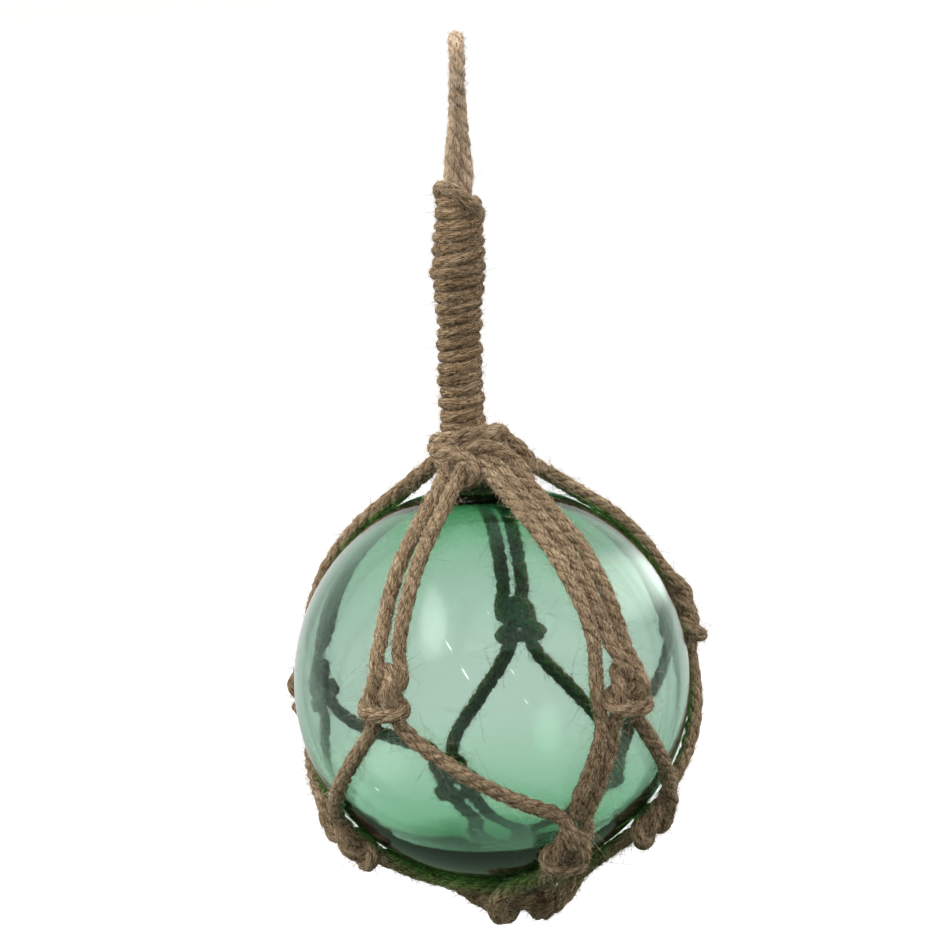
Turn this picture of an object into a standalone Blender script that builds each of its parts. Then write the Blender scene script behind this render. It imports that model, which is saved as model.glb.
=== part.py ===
"""Glass float ball: a blown glass ball in a knotted jute net, with a whipped neck and a hanging loop.

The origin is the hang point, where a hook touches the inside of the loop's top. +Z is up, and the
front of the float faces -Y. Everything hangs below the origin.
"""

import math

import bmesh
import bpy
import numpy as np

# Driving dimensions, in metres
BALL_DIAMETER = 0.150
CORD_DIAMETER = 0.0053
LOOP_REACH = 0.053
LOOP_EYE_WIDTH = 0.012
NECK_LENGTH = 0.0915
WHIPPING_THICKNESS = 0.0033
WHIPPING_SWELL = 0.00125
WHIPPING_PITCH = 0.00475
COLLAR_HEIGHT = 0.0212
BOTTOM_RING_DIAMETER = 0.022
BUTTON_DIAMETER = 0.018
BUTTON_HEIGHT = 0.0030
CORD_GAP = 0.00058

# Shares of the cord's diameter that are left where it is pulled tight
KNOT_SQUEEZE = 0.66
HITCH_SQUEEZE = 0.86
COLLAR_SQUEEZE = 0.74
CORE_SQUEEZE = 0.74
LOOP_SQUEEZE = 0.98

# How far those places reach from the middle of a knot, the bottom ring and the collar, how far the
# squeeze then fades, and how high over the glass the collar's middle is, in cord diameters
KNOT_REACH = 2.6
RING_REACH = 5.2
COLLAR_REACH = 3.2
FADE_REACH = 1.6
COLLAR_MIDDLE = 2.2

# How far the loop's two legs reach down into the collar, as a share of its height
LEG_SHARE = 0.15

# The net leans a little to the left at the top, as it was pulled over the ball. Degrees, and how far
# its two ends stand to the side of that line, in metres.
NET_LEAN = -1.8
COLLAR_ASIDE = 0.0015
RING_ASIDE = 0.0030

# Knots of the two rows: azimuth (0 faces the front, 90 is to the right) and latitude, in degrees. The
# extra strand runs past the upper row's third knot into the lower row's second.
UPPER_KNOTS = ((-119, -2.5), (-30, 9.5), (38, 4.5), (108, 9.5), (171, 5.5))
LOWER_KNOTS = ((-78, -43.5), (23, -43.0), (71, -43.0), (135, -38.0), (198, -40.0))

# The neck's middle line: share of the way down from its top, and how far it stands to the side
NECK_BEND = ((0.0, -0.0020), (0.35, -0.0040), (0.7, -0.0052), (1.0, -0.0056))

# A netting knot on the glass, in cord diameters: right, up, and out from the glass.
# BIGHT is the cord of the row below, which turns back here. WRAP is the cord of the row above.
BIGHT = (
    (-0.85, -1.85, 0.55), (-0.55, -1.35, 0.70), (-0.48, -0.75, 0.95), (-0.52, -0.05, 1.30),
    (-0.50, 0.65, 1.15), (-0.10, 1.30, 0.95), (0.38, 1.15, 1.05), (0.58, 0.65, 1.35),
    (0.56, 0.00, 1.60), (0.48, -0.75, 1.00), (0.55, -1.35, 0.70), (0.85, -1.85, 0.55),
)
WRAP = (
    (-0.42, 2.10, 0.85), (-0.40, 1.75, 1.35), (-0.25, 1.30, 1.68), (-0.05, 0.80, 1.50),
    (0.05, 0.40, 0.95), (0.20, 0.00, 0.38), (0.60, -0.50, 0.35), (1.10, -0.85, 0.60),
    (1.28, -1.00, 1.20), (0.90, -1.05, 1.72), (0.45, -1.05, 1.88), (-0.45, -1.05, 1.84),
    (-0.95, -1.00, 1.62), (-1.28, -0.75, 1.10), (-1.18, -0.40, 0.60), (-0.70, -0.10, 0.50),
    (-0.25, -0.05, 0.75), (0.20, -0.02, 1.02), (0.70, 0.05, 0.95), (1.15, 0.35, 0.85),
    (0.98, 0.90, 0.75), (0.54, 1.65, 0.60),
)
KNOT_WIDTH = 1.45
KNOT_TALL = 1.5

# The extra strand past the upper knot and into the lower one, in the same measure, then its two points
# by the collar: to the side, out and up
PAST_UPPER = (
    (-0.96, 3.0, 0.55), (-1.32, 1.2, 0.50), (-1.48, 0.0, 0.38), (-1.42, -0.8, 0.38),
    (-1.20, -1.5, 0.50), (-1.35, -2.4, 0.55),
)
INTO_LOWER = ((0.10, 3.4, 0.55), (0.12, 2.3, 0.55), (0.10, 1.9, 0.55))
EXTRA_TOP = (-1.30, 2.00, 2.35)
EXTRA_FOOT = (-1.62, 3.35, 1.55)

# The hitch of the lowest row round the bottom ring, in cord diameters: along the ring, out from the
# ring's middle line, and down from the glass
HITCH = (
    (-1.00, 2.00, 0.60), (-0.30, 1.10, 0.55), (0.28, 0.20, 0.70), (0.34, -0.70, 1.25),
    (0.05, -0.88, 2.00), (-0.30, -0.22, 2.68), (-0.35, 0.70, 2.68), (0.15, 1.50, 2.00),
    (0.85, 2.20, 1.10),
)
RING_DEPTH = 1.70

# The feet of the lowest row's legs by the ring, in cord diameters: to the side of their knot, out
# from the ring's middle line, and over the glass
LEG_FOOT = (0.58, 4.3, 0.56)

# The top of each strand pair at the collar, in cord diameters from the collar's axis, its foot being
# where the glass ends: how far out, and how high
ARCH_FOOT = (3.20, 1.70)
ARCH_TOP = (1.75, 3.00)
STRAND_SPREAD = 0.62

# Where an arch passes over, as shares of the way round to the next pair
ARCH_SHARES = (0.38, 0.62)

# The lashing round the arches, below the neck: turns, and in cord diameters its radius and its rise
# in each turn
LASHING_TURNS = 1.1
LASHING_RADIUS = 2.80
LASHING_RISE = 0.75
LASHING_POINTS = 10

# The loop's legs in the neck, as shares of the way up it. Then the eye's lower part: height as a share
# of the loop's reach, half width as shares of the cord's diameter and of the eye's, and the turn of
# the two legs round each other in degrees.
LEG_MARKS = (0.35, 0.7)
EYE_LINE = (
    (0.08, 0.52, 0.0, 10), (0.30, 0.56, 0.0, 52), (0.48, 0.62, 0.0, 76),
    (0.64, 0.0, 0.6, 86), (0.76, 0.0, 0.9, 90),
)
EYE_POINTS = 7

# The whipping's grooves as a share of its pitch, and where its swell fades out on the way down
GROOVE_SHARE = 0.16
SWELL_FADE = (0.28, 0.50)

# The sealing button's section from its top: shares of its radius and of its height
BUTTON_SECTION = ((0.55, 1.0), (0.93, 0.62), (1.0, 0.0))

# How a cord is divided, in cord diameters: the points of a taut run, its working step, its longest
# piece, and how far a bend may leave a straight piece. Then the pieces of the smooth curve between
# two points, and how many sides the cords and the round solids have.
RUN_STEP = 1.5
FINE_STEP = 0.45
LONG_STEP = 2.6
BEND_DEPTH = 0.080
CURVE_PIECES = 12
CORD_SIDES = 6
ROUND_SIDES = 14

# How the cords are eased apart: rounds, how many of them also smooth the cords, how strongly a round
# smooths, how strongly it draws a cord back to its own route, and how far each further neighbour
# dampens a push
EASE_ROUNDS = 200
SMOOTH_ROUNDS = 112
SMOOTHING = 0.30
HOMING = 0.05
DAMPING = 0.35

# Points are compared with each other within PAIR_REACH cord diameters, every PAIR_ROUNDS rounds, and
# on one cord only if they are more than SAME_REACH diameters apart along it
PAIR_REACH = 1.5
SAME_REACH = 1.25
PAIR_ROUNDS = 8

GLASS_COLOUR = (0.42, 0.62, 0.52, 1.0)
JUTE_COLOUR = (0.29, 0.19, 0.115, 1.0)
JUTE_DARK = (0.24, 0.155, 0.095, 1.0)

BALL_RADIUS = BALL_DIAMETER / 2
NECK_TOP = -LOOP_REACH
NECK_BORE = 2 * CORE_SQUEEZE * CORD_DIAMETER + 4 * CORD_GAP
NECK_FOOT = NECK_TOP - NECK_LENGTH
BALL_CENTRE = np.array([0.0, 0.0, NECK_FOOT - COLLAR_HEIGHT - BALL_RADIUS])


def clear_scene():
    """Take everything out of the open scene."""
    for old in list(bpy.data.objects):
        bpy.data.objects.remove(old, do_unlink=True)


def make_material(name, colour, roughness):
    """A plain material with the part's colour."""
    material = bpy.data.materials.new(name)
    material.use_nodes = True
    shader = material.node_tree.nodes["Principled BSDF"]
    shader.inputs["Base Color"].default_value = colour
    shader.inputs["Roughness"].default_value = roughness
    shader.inputs["Metallic"].default_value = 0.0
    material.diffuse_color = colour
    return material


def net_axes():
    """The net's own right, back and up directions, leaning with NET_LEAN."""
    lean = math.radians(NET_LEAN)
    right = np.array([math.cos(lean), 0.0, -math.sin(lean)])
    up = np.array([math.sin(lean), 0.0, math.cos(lean)])
    return right, np.array([0.0, 1.0, 0.0]), up


def ball_axes(azimuth, latitude):
    """Directions at a place on the ball: right, up along the glass, and out."""
    right, back, up = net_axes()
    a = math.radians(azimuth)
    b = math.radians(latitude)
    level = math.sin(a) * right - math.cos(a) * back
    side = math.cos(a) * right + math.sin(a) * back
    out = math.cos(b) * level + math.sin(b) * up
    return side, math.cos(b) * up - math.sin(b) * level, out


def knot_points(azimuth, latitude, pattern):
    """Place a knot's pattern on the glass."""
    side, up, out = ball_axes(azimuth, latitude)
    place = BALL_CENTRE + BALL_RADIUS * out
    d = CORD_DIAMETER
    points = [place + d * (x * KNOT_WIDTH * side + y * KNOT_TALL * up + z * out) for x, y, z in pattern]
    return [BALL_CENTRE + on_shell(p, q[2]) for p, q in zip(points, pattern)]


def on_shell(point, height):
    """Keep a knot's point at its own height above the round glass."""
    way = point - BALL_CENTRE
    return way / np.linalg.norm(way) * (BALL_RADIUS + height * CORD_DIAMETER)


def taut_run(start, end):
    """Points of a cord pulled tight round the glass from one point to another, without the two ends."""
    radius = BALL_RADIUS + CORD_DIAMETER / 2 + CORD_GAP
    p = start - BALL_CENTRE
    q = end - BALL_CENTRE
    length_p = np.linalg.norm(p)
    length_q = np.linalg.norm(q)
    across = math.acos(np.clip(p @ q / length_p / length_q, -1.0, 1.0))
    first = p / length_p
    second = q / length_q - first * math.cos(across)
    second = second / np.linalg.norm(second)
    leave_p = math.acos(min(1.0, radius / length_p))
    leave_q = math.acos(min(1.0, radius / length_q))
    points = []
    if across > leave_p + leave_q:
        count = max(2, round((across - leave_p - leave_q) * radius / (RUN_STEP * CORD_DIAMETER)))
        for angle in np.linspace(leave_p, across - leave_q, count + 1)[1:-1]:
            points.append(BALL_CENTRE + radius * (math.cos(angle) * first + math.sin(angle) * second))
    return points


def resample(points, step, closed):
    """Walk a smooth curve through the points, a step at a time."""
    points = np.array(points)
    count = len(points)
    if closed:
        padded = np.vstack([points[-1:], points, points[:2]])
    else:
        padded = np.vstack([2 * points[:1] - points[1:2], points, 2 * points[-1:] - points[-2:-1]])
    dense = []
    for i in range(count if closed else count - 1):
        a, b, c, e = padded[i], padded[i + 1], padded[i + 2], padded[i + 3]
        t0 = 0.0
        t1 = t0 + max(1e-6, np.linalg.norm(b - a)) ** 0.5
        t2 = t1 + max(1e-6, np.linalg.norm(c - b)) ** 0.5
        t3 = t2 + max(1e-6, np.linalg.norm(e - c)) ** 0.5
        for t in np.linspace(t1, t2, CURVE_PIECES, endpoint=False):
            ab = (t1 - t) / (t1 - t0) * a + (t - t0) / (t1 - t0) * b
            bc = (t2 - t) / (t2 - t1) * b + (t - t1) / (t2 - t1) * c
            ce = (t3 - t) / (t3 - t2) * c + (t - t2) / (t3 - t2) * e
            low = (t2 - t) / (t2 - t0) * ab + (t - t0) / (t2 - t0) * bc
            high = (t3 - t) / (t3 - t1) * bc + (t - t1) / (t3 - t1) * ce
            dense.append((t2 - t) / (t2 - t1) * low + (t - t1) / (t2 - t1) * high)
    dense.append(points[0] if closed else points[-1])
    dense = np.array(dense)
    along = np.concatenate([[0.0], np.cumsum(np.linalg.norm(np.diff(dense, axis=0), axis=1))])
    pieces = max(3, round(along[-1] / step))
    marks = np.linspace(0.0, along[-1], pieces + 1)
    if closed:
        marks = marks[:-1]
    return np.column_stack([np.interp(marks, along, dense[:, k]) for k in range(3)])


class Cord:
    """A cord's middle line, with the radius that the knots leave it."""

    def __init__(self, name, points, closed=False, squeeze=None, held=False):
        self.name = name
        self.closed = closed
        self.points = resample(points, FINE_STEP * CORD_DIAMETER, closed)
        self.held = held
        if squeeze is None:
            self.radius = np.array([CORD_DIAMETER / 2 * tightness(p) for p in self.points])
        else:
            self.radius = np.full(len(self.points), CORD_DIAMETER / 2 * squeeze)


def tight_places():
    """Where the net is knotted: a point, a reach in cord diameters and what is left of the diameter."""
    places = []
    for azimuth, latitude in UPPER_KNOTS + LOWER_KNOTS:
        out = ball_axes(azimuth, latitude)[2]
        places.append((BALL_CENTRE + BALL_RADIUS * out, KNOT_REACH, KNOT_SQUEEZE))
    up = net_axes()[2]
    places.append((BALL_CENTRE - BALL_RADIUS * up, RING_REACH, HITCH_SQUEEZE))
    collar = BALL_CENTRE + (BALL_RADIUS + COLLAR_MIDDLE * CORD_DIAMETER) * up
    places.append((collar, COLLAR_REACH, COLLAR_SQUEEZE))
    return places


def tightness(point):
    """The share of its diameter that a cord keeps at a point."""
    share = 1.0
    for place, reach, least in TIGHT_PLACES:
        away = np.linalg.norm(point - place) / CORD_DIAMETER - reach
        blend = min(1.0, max(0.0, away / FADE_REACH))
        share = min(share, least + (1.0 - least) * blend)
    return share


def top_cord():
    """The upper row: knotted round the row below, and arched from knot to knot at the collar."""
    points = []
    count = len(UPPER_KNOTS)
    for i, (azimuth, latitude) in enumerate(UPPER_KNOTS):
        knot = knot_points(azimuth, latitude, WRAP)
        following = UPPER_KNOTS[(i + 1) % count][0]
        following += 360 if following < azimuth else 0
        left_foot = arch_point(azimuth, -STRAND_SPREAD, ARCH_FOOT)
        right_foot = arch_point(azimuth, STRAND_SPREAD, ARCH_FOOT)
        points.append(left_foot)
        points += taut_run(left_foot, knot[0])
        points += knot
        points += taut_run(knot[-1], right_foot)
        points.append(right_foot)
        for share in ARCH_SHARES:
            points.append(arch_point(azimuth + share * (following - azimuth), 0.0, ARCH_TOP))
    return Cord("net_top_cord", points, closed=True)


def arch_point(azimuth, aside, place):
    """A point by the collar: aside, out and up are in cord diameters."""
    right, back, up = net_axes()
    a = math.radians(azimuth)
    level = math.sin(a) * right - math.cos(a) * back
    side = math.cos(a) * right + math.sin(a) * back
    top = BALL_CENTRE + BALL_RADIUS * up + COLLAR_ASIDE * right
    return top + CORD_DIAMETER * (aside * side + place[0] * level + place[1] * up)


def middle_cord():
    """The middle row: a zigzag, turned back at the upper knots and knotted at the lower ones."""
    points = []
    for i, (azimuth, latitude) in enumerate(UPPER_KNOTS):
        bight = knot_points(azimuth, latitude, BIGHT)
        wrap = knot_points(*LOWER_KNOTS[i], WRAP)
        before = knot_points(*LOWER_KNOTS[i - 1], WRAP)
        if i:
            points += taut_run(before[-1], bight[0])
        points += bight
        points += taut_run(bight[-1], wrap[0])
        points += wrap
    points += taut_run(points[-1], points[0])
    return Cord("net_middle_cord", points, closed=True)


def bottom_cord():
    """The lowest row: turned back at the lower knots, its legs run in pairs to the bottom ring, and it is
    hitched round the ring between one pair and the next."""
    points = []
    count = len(LOWER_KNOTS)
    for i, (azimuth, latitude) in enumerate(LOWER_KNOTS):
        following = LOWER_KNOTS[(i + 1) % count][0]
        following += 360 if following < azimuth else 0
        bight = knot_points(azimuth, latitude, BIGHT[1:-1])
        aside, outward, height = LEG_FOOT
        left = ring_points(azimuth, ((-aside, outward, height),))
        right = ring_points(azimuth, ((aside, outward, height),))
        points += left
        points += taut_run(left[0], bight[0])
        points += bight
        points += taut_run(bight[-1], right[0])
        points += right
        points += ring_points((azimuth + following) / 2, HITCH)
    return Cord("net_bottom_cord", points, closed=True)


def ring_points(azimuth, places):
    """Points by the bottom ring: along it, out from its middle line, and over the glass."""
    right, back, up = net_axes()
    a = math.radians(azimuth)
    level = math.sin(a) * right - math.cos(a) * back
    side = math.cos(a) * right + math.sin(a) * back
    ring = BOTTOM_RING_DIAMETER / 2
    points = []
    for x, y, z in places:
        flat = (ring + y * CORD_DIAMETER) * level + x * CORD_DIAMETER * side + RING_ASIDE * right
        depth = math.sqrt(BALL_RADIUS**2 - flat @ flat)
        way = flat - depth * up
        points.append(BALL_CENTRE + way / BALL_RADIUS * (BALL_RADIUS + z * CORD_DIAMETER))
    return points


def extra_strand():
    """The third strand of the front right group, down to the lower knot, where it is tucked in."""
    azimuth, latitude = UPPER_KNOTS[2]
    upper = knot_points(azimuth, latitude, PAST_UPPER)
    lower = knot_points(*LOWER_KNOTS[1], INTO_LOWER)
    top = arch_point(azimuth, EXTRA_TOP[0], EXTRA_TOP[1:])
    foot = arch_point(azimuth, EXTRA_FOOT[0], EXTRA_FOOT[1:])
    points = [top, foot]
    points += taut_run(foot, upper[0])
    points += upper
    points += taut_run(upper[-1], lower[0])
    points += lower
    return Cord("net_extra_strand", points)


def bottom_ring():
    """The small ring of cord under the ball."""
    right, back, up = net_axes()
    ring = BOTTOM_RING_DIAMETER / 2
    points = []
    for a in np.linspace(0.0, 2 * math.pi, 12, endpoint=False):
        flat = ring * (math.cos(a) * right + math.sin(a) * back) + RING_ASIDE * right
        points.append(BALL_CENTRE + flat - (BALL_RADIUS + RING_DEPTH * CORD_DIAMETER) * up)
    return Cord("bottom_ring", points, closed=True, squeeze=HITCH_SQUEEZE, held=True)


def lashing():
    """The cord wound round the arches and the foot of the neck."""
    right, back, up = net_axes()
    highest = COLLAR_HEIGHT - COLLAR_SQUEEZE * CORD_DIAMETER / 2 - CORD_GAP
    middle = BALL_CENTRE + (BALL_RADIUS + highest) * up
    points = []
    count = round(LASHING_TURNS * LASHING_POINTS)
    for i in range(count + 1):
        turned = LASHING_TURNS * i / count
        a = 2 * math.pi * turned
        flat = LASHING_RADIUS * (math.cos(a) * right - math.sin(a) * back)
        drop = LASHING_RISE * (LASHING_TURNS - turned)
        points.append(middle + CORD_DIAMETER * (flat - drop * up))
    return Cord("collar_lashing", points, squeeze=COLLAR_SQUEEZE)


def neck_middle(z):
    """The neck's middle at a height: its legs stand a little to the left of the hang point."""
    share = (NECK_TOP - z) / NECK_LENGTH
    return np.interp(share, [s for s, x in NECK_BEND], [x for s, x in NECK_BEND])


def hanging_loop():
    """The loop: two legs side by side in the neck, turning to front and back in the eye."""
    d = CORD_DIAMETER
    leg_width = (CORE_SQUEEZE * d + CORD_GAP) / 2
    eye = (LOOP_EYE_WIDTH + d) / 2
    foot = NECK_FOOT - LEG_SHARE * COLLAR_HEIGHT
    heights = [foot, NECK_FOOT]
    heights += [NECK_FOOT + share * NECK_LENGTH for share in LEG_MARKS]
    heights.append(NECK_TOP - d / 2)
    left = [(neck_middle(z) - leg_width, 0.0, z) for z in heights]
    right = [(neck_middle(z) + leg_width, 0.0, z) for z in reversed(heights)]
    rise = []
    fall = []
    for share, in_cords, in_eyes, turn in EYE_LINE:
        z = NECK_TOP * (1.0 - share)
        middle = np.array([NECK_BEND[0][1] * (1.0 - share), 0.0, z])
        a = math.radians(turn)
        way = (in_cords * d + in_eyes * eye) * np.array([math.cos(a), math.sin(a), 0.0])
        rise.append(middle - way)
        fall.insert(0, middle + way)
    top = []
    for a in np.linspace(0.0, math.pi, EYE_POINTS):
        top.append(np.array([0.0, -eye * math.cos(a), d / 2 - eye * (1 - math.sin(a))]))
    cord = Cord("hanging_loop", left + rise + top + fall + right, squeeze=1.0, held=True)
    in_neck = np.clip((cord.points[:, 2] - NECK_TOP) / (2 * d), 0.0, 1.0)
    cord.radius = d / 2 * (CORE_SQUEEZE + (LOOP_SQUEEZE - CORE_SQUEEZE) * in_neck)
    return cord


def part_cords(cords):
    """Ease the cords apart, a little at a time, until each clears the next and the glass."""
    points = np.vstack([c.points for c in cords])
    radius = np.concatenate([c.radius for c in cords])
    owner = np.concatenate([np.full(len(c.points), k) for k, c in enumerate(cords)])
    place = np.concatenate([np.arange(len(c.points)) for c in cords])
    size = np.concatenate([np.full(len(c.points), len(c.points) if c.closed else 10**6) for c in cords])
    before = np.arange(len(points)) - 1
    after = np.arange(len(points)) + 1
    free = np.ones(len(points), bool)
    start = 0
    for c in cords:
        last = start + len(c.points) - 1
        before[start] = last if c.closed else start
        after[last] = start if c.closed else last
        free[[start, last]] = c.closed
        free[start:last + 1] &= not c.held
        start = last + 1
    home = points.copy()
    for turn in range(EASE_ROUNDS):
        if turn % PAIR_ROUNDS == 0:
            first, second = near_pairs(points, owner, place, size)
        if turn < SMOOTH_ROUNDS:
            middle = (points[before] + points[after]) / 2
            step = SMOOTHING * (middle - points) + HOMING * (home - points)
            points = points + step * free[:, None]
        way = points[first] - points[second]
        length = np.linalg.norm(way, axis=1)
        short = np.maximum(0.0, radius[first] + radius[second] + CORD_GAP - length)
        push = way / np.maximum(length, 1e-9)[:, None] * (short * 0.5)[:, None]
        count = np.ones(len(points))
        np.add.at(count, first[short > 0], DAMPING)
        np.add.at(count, second[short > 0], DAMPING)
        move = np.zeros_like(points)
        np.add.at(move, first, push)
        np.add.at(move, second, -push)
        points = points + move / count[:, None] * free[:, None]
        out = points - BALL_CENTRE
        height = np.linalg.norm(out, axis=1)
        least = BALL_RADIUS + radius + CORD_GAP
        low = np.maximum(height, least)
        points = BALL_CENTRE + out / height[:, None] * low[:, None]
    start = 0
    for c in cords:
        c.points = points[start:start + len(c.points)]
        start += len(c.points)


def near_pairs(points, owner, place, size):
    """Pairs of points that may touch: of two cords, or of one cord but not next to each other."""
    along = int(SAME_REACH / FINE_STEP) + 1
    reach = PAIR_REACH * CORD_DIAMETER
    square = sum(np.subtract.outer(points[:, k], points[:, k]) ** 2 for k in range(3))
    first, second = np.nonzero(np.triu(square < reach**2, 1))
    gap = np.abs(place[first] - place[second])
    gap = np.minimum(gap, size[first] - gap)
    keep = (owner[first] != owner[second]) | (gap > along)
    return first[keep], second[keep]


def thin_out(cord):
    """Keep a cord's close points where it bends, and few on its long runs."""
    points = cord.points
    kept = [0]
    for i in range(1, len(points) - 1):
        since = np.linalg.norm(np.diff(points[kept[-1]:i + 2], axis=0), axis=1).sum()
        chord = points[i + 1] - points[kept[-1]]
        spare = points[kept[-1]:i + 1] - points[kept[-1]]
        off = np.linalg.norm(np.cross(spare, chord / np.linalg.norm(chord)), axis=1).max()
        if since > LONG_STEP * CORD_DIAMETER or off > BEND_DEPTH * CORD_DIAMETER:
            kept.append(i)
    kept.append(len(points) - 1)
    return kept


def make_cord(cord, material):
    """A round solid along the cord's middle line."""
    kept = thin_out(cord)
    curve = bpy.data.curves.new(cord.name, "CURVE")
    curve.dimensions = "3D"
    curve.bevel_depth = CORD_DIAMETER / 2
    curve.bevel_resolution = (CORD_SIDES - 4) // 2
    curve.resolution_u = 1
    curve.render_resolution_u = 0
    curve.use_fill_caps = not cord.closed
    spline = curve.splines.new("POLY")
    spline.points.add(len(kept) - 1)
    for target, k in zip(spline.points, kept):
        target.co = (*cord.points[k], 1.0)
        target.radius = cord.radius[k] / (CORD_DIAMETER / 2)
    spline.use_cyclic_u = cord.closed
    spline.use_smooth = True
    thing = bpy.data.objects.new(cord.name, curve)
    bpy.context.collection.objects.link(thing)
    curve.materials.append(material)
    return thing


def turned_solid(name, rings, material, capped):
    """A solid from rings of points, each joined to the next: capped at both ends, or closed on itself."""
    mesh = bmesh.new()
    rows = [[mesh.verts.new(p) for p in ring] for ring in rings]
    count = len(rows)
    for i in range(count - 1 if capped else count):
        row = rows[i]
        following = rows[(i + 1) % count]
        for k in range(len(row)):
            nxt = (k + 1) % len(row)
            mesh.faces.new((row[k], row[nxt], following[nxt], following[k]))
    if capped:
        mesh.faces.new(rows[0][::-1])
        mesh.faces.new(rows[-1])
    bmesh.ops.recalc_face_normals(mesh, faces=mesh.faces)
    data = bpy.data.meshes.new(name)
    mesh.to_mesh(data)
    mesh.free()
    data.shade_smooth()
    data.set_sharp_from_angle(angle=math.radians(50))
    data.materials.append(material)
    thing = bpy.data.objects.new(name, data)
    bpy.context.collection.objects.link(thing)
    return thing


def level_ring(centre, radius, sides):
    """A level ring of points."""
    angles = [2 * math.pi * k / sides for k in range(sides)]
    return [(centre[0] + radius * math.cos(a), centre[1] + radius * math.sin(a), centre[2]) for a in angles]


def make_ball(material):
    """The float: a sphere with the low glass button that sealed it, under the collar."""
    button = BUTTON_DIAMETER / 2
    start = math.asin(button / BALL_RADIUS)
    rows = 2 * ROUND_SIDES
    rings = []
    for width, height in BUTTON_SECTION:
        z = BALL_RADIUS * math.cos(start) + height * BUTTON_HEIGHT
        rings.append(level_ring(BALL_CENTRE + np.array([0, 0, z]), button * width, rows))
    for angle in np.linspace(start, math.pi, ROUND_SIDES + 1)[1:-1]:
        centre = BALL_CENTRE + np.array([0, 0, BALL_RADIUS * math.cos(angle)])
        rings.append(level_ring(centre, BALL_RADIUS * math.sin(angle), rows))
    return turned_solid("glass_ball", rings, material, True)


def make_whipping(material):
    """The sleeve of close turns round the loop's legs, thicker near its top."""
    turns = round(NECK_LENGTH / WHIPPING_PITCH)
    groove = GROOVE_SHARE * WHIPPING_PITCH
    outer = []
    for i in range(2 * turns + 1):
        down = i / (2 * turns)
        z = NECK_TOP - NECK_LENGTH * down
        swell = WHIPPING_SWELL * np.interp(down, SWELL_FADE, (1.0, 0.0))
        radius = NECK_BORE / 2 + WHIPPING_THICKNESS + swell - (0.0 if i % 2 else groove)
        outer.append(level_ring((neck_middle(z), 0.0, z), radius, ROUND_SIDES))
    inner = []
    for share in (1.0, LEG_MARKS[1], LEG_MARKS[0], 0.0):
        z = NECK_TOP - NECK_LENGTH * share
        inner.append(level_ring((neck_middle(z), 0.0, z), NECK_BORE / 2, ROUND_SIDES))
    return turned_solid("neck_whipping", outer + inner, material, False)


TIGHT_PLACES = tight_places()


def main():
    clear_scene()
    glass = make_material("float_glass", GLASS_COLOUR, 0.05)
    jute = make_material("jute_cord", JUTE_COLOUR, 0.9)
    neck_jute = make_material("jute_whipping", JUTE_DARK, 0.9)
    make_ball(glass)
    make_whipping(neck_jute)
    cords = [top_cord(), middle_cord(), bottom_cord(), extra_strand()]
    cords += [bottom_ring(), lashing(), hanging_loop()]
    part_cords(cords)
    for cord in cords:
        make_cord(cord, jute)


main()
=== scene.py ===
# %% [markdown]
# # A glass float ball in a jute net
#
# Fishing floats were blown from cheap green bottle glass, sealed with a button of hot glass and tied
# into a net of tarred or plain cord. Indoors they hang from a loop with a long whipped neck. This
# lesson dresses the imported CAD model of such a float: first the hollow glass, then every cord as a
# twisted jute rope with its fluff, then the studio.

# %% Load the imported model
import math

import bmesh
import bpy
import numpy as np
from mathutils import Matrix, Vector


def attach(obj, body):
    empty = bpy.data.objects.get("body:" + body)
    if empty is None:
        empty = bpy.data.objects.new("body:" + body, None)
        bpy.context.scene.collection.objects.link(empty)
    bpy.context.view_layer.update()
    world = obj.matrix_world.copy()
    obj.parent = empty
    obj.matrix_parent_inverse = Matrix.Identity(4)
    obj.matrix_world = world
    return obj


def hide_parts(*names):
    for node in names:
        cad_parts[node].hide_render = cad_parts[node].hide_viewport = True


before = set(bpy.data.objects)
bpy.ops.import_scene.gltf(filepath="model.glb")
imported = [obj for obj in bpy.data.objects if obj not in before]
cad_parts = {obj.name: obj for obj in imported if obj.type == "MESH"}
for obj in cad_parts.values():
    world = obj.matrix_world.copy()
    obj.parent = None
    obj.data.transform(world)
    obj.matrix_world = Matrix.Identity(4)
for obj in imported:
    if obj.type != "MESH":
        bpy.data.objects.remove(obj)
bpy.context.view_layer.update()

# %% [markdown]
# The sizes below are the float's own: a 150 mm ball and 5.3 mm cord. They repeat the values that the
# solids were made from, because the cords here have to lie where their solids lie. The origin is the
# point where a hook carries the loop, so the whole float hangs below it.

# %% Name the float's sizes
BALL_RADIUS = 0.075
CORD = 0.0053
LOOP_REACH = 0.053
NECK_LENGTH = 0.0915
COLLAR_HEIGHT = 0.0212
RING_RADIUS = 0.011
NECK_TOP = -LOOP_REACH
NECK_FOOT = NECK_TOP - NECK_LENGTH
BALL_CENTRE = np.array([0.0, 0.0, NECK_FOOT - COLLAR_HEIGHT - BALL_RADIUS])
print("ball centre", BALL_CENTRE, "lowest glass", BALL_CENTRE[2] - BALL_RADIUS)

# %% [markdown]
# The camera comes first, so that each piece can be judged from the photograph's side. It stands two
# metres away with a long lens, looks down at the ball by twelve degrees and is tilted a little. It is
# aimed, not shifted, so that the ball's centre falls on its place in the 945 pixel square picture.

# %% Set up the camera
PICTURE = 945
CAMERA_AWAY = 2.0
CAMERA_UP = math.radians(12)
CAMERA_TILT = math.radians(3.24)
METRES_PER_PIXEL = 0.379e-3
BALL_IN_PICTURE = (492, 680)
SENSOR = 36


def add_object(name, data):
    """A new object at the origin, in the scene."""
    made = bpy.data.objects.new(name, data)
    bpy.context.scene.collection.objects.link(made)
    return made


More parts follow.
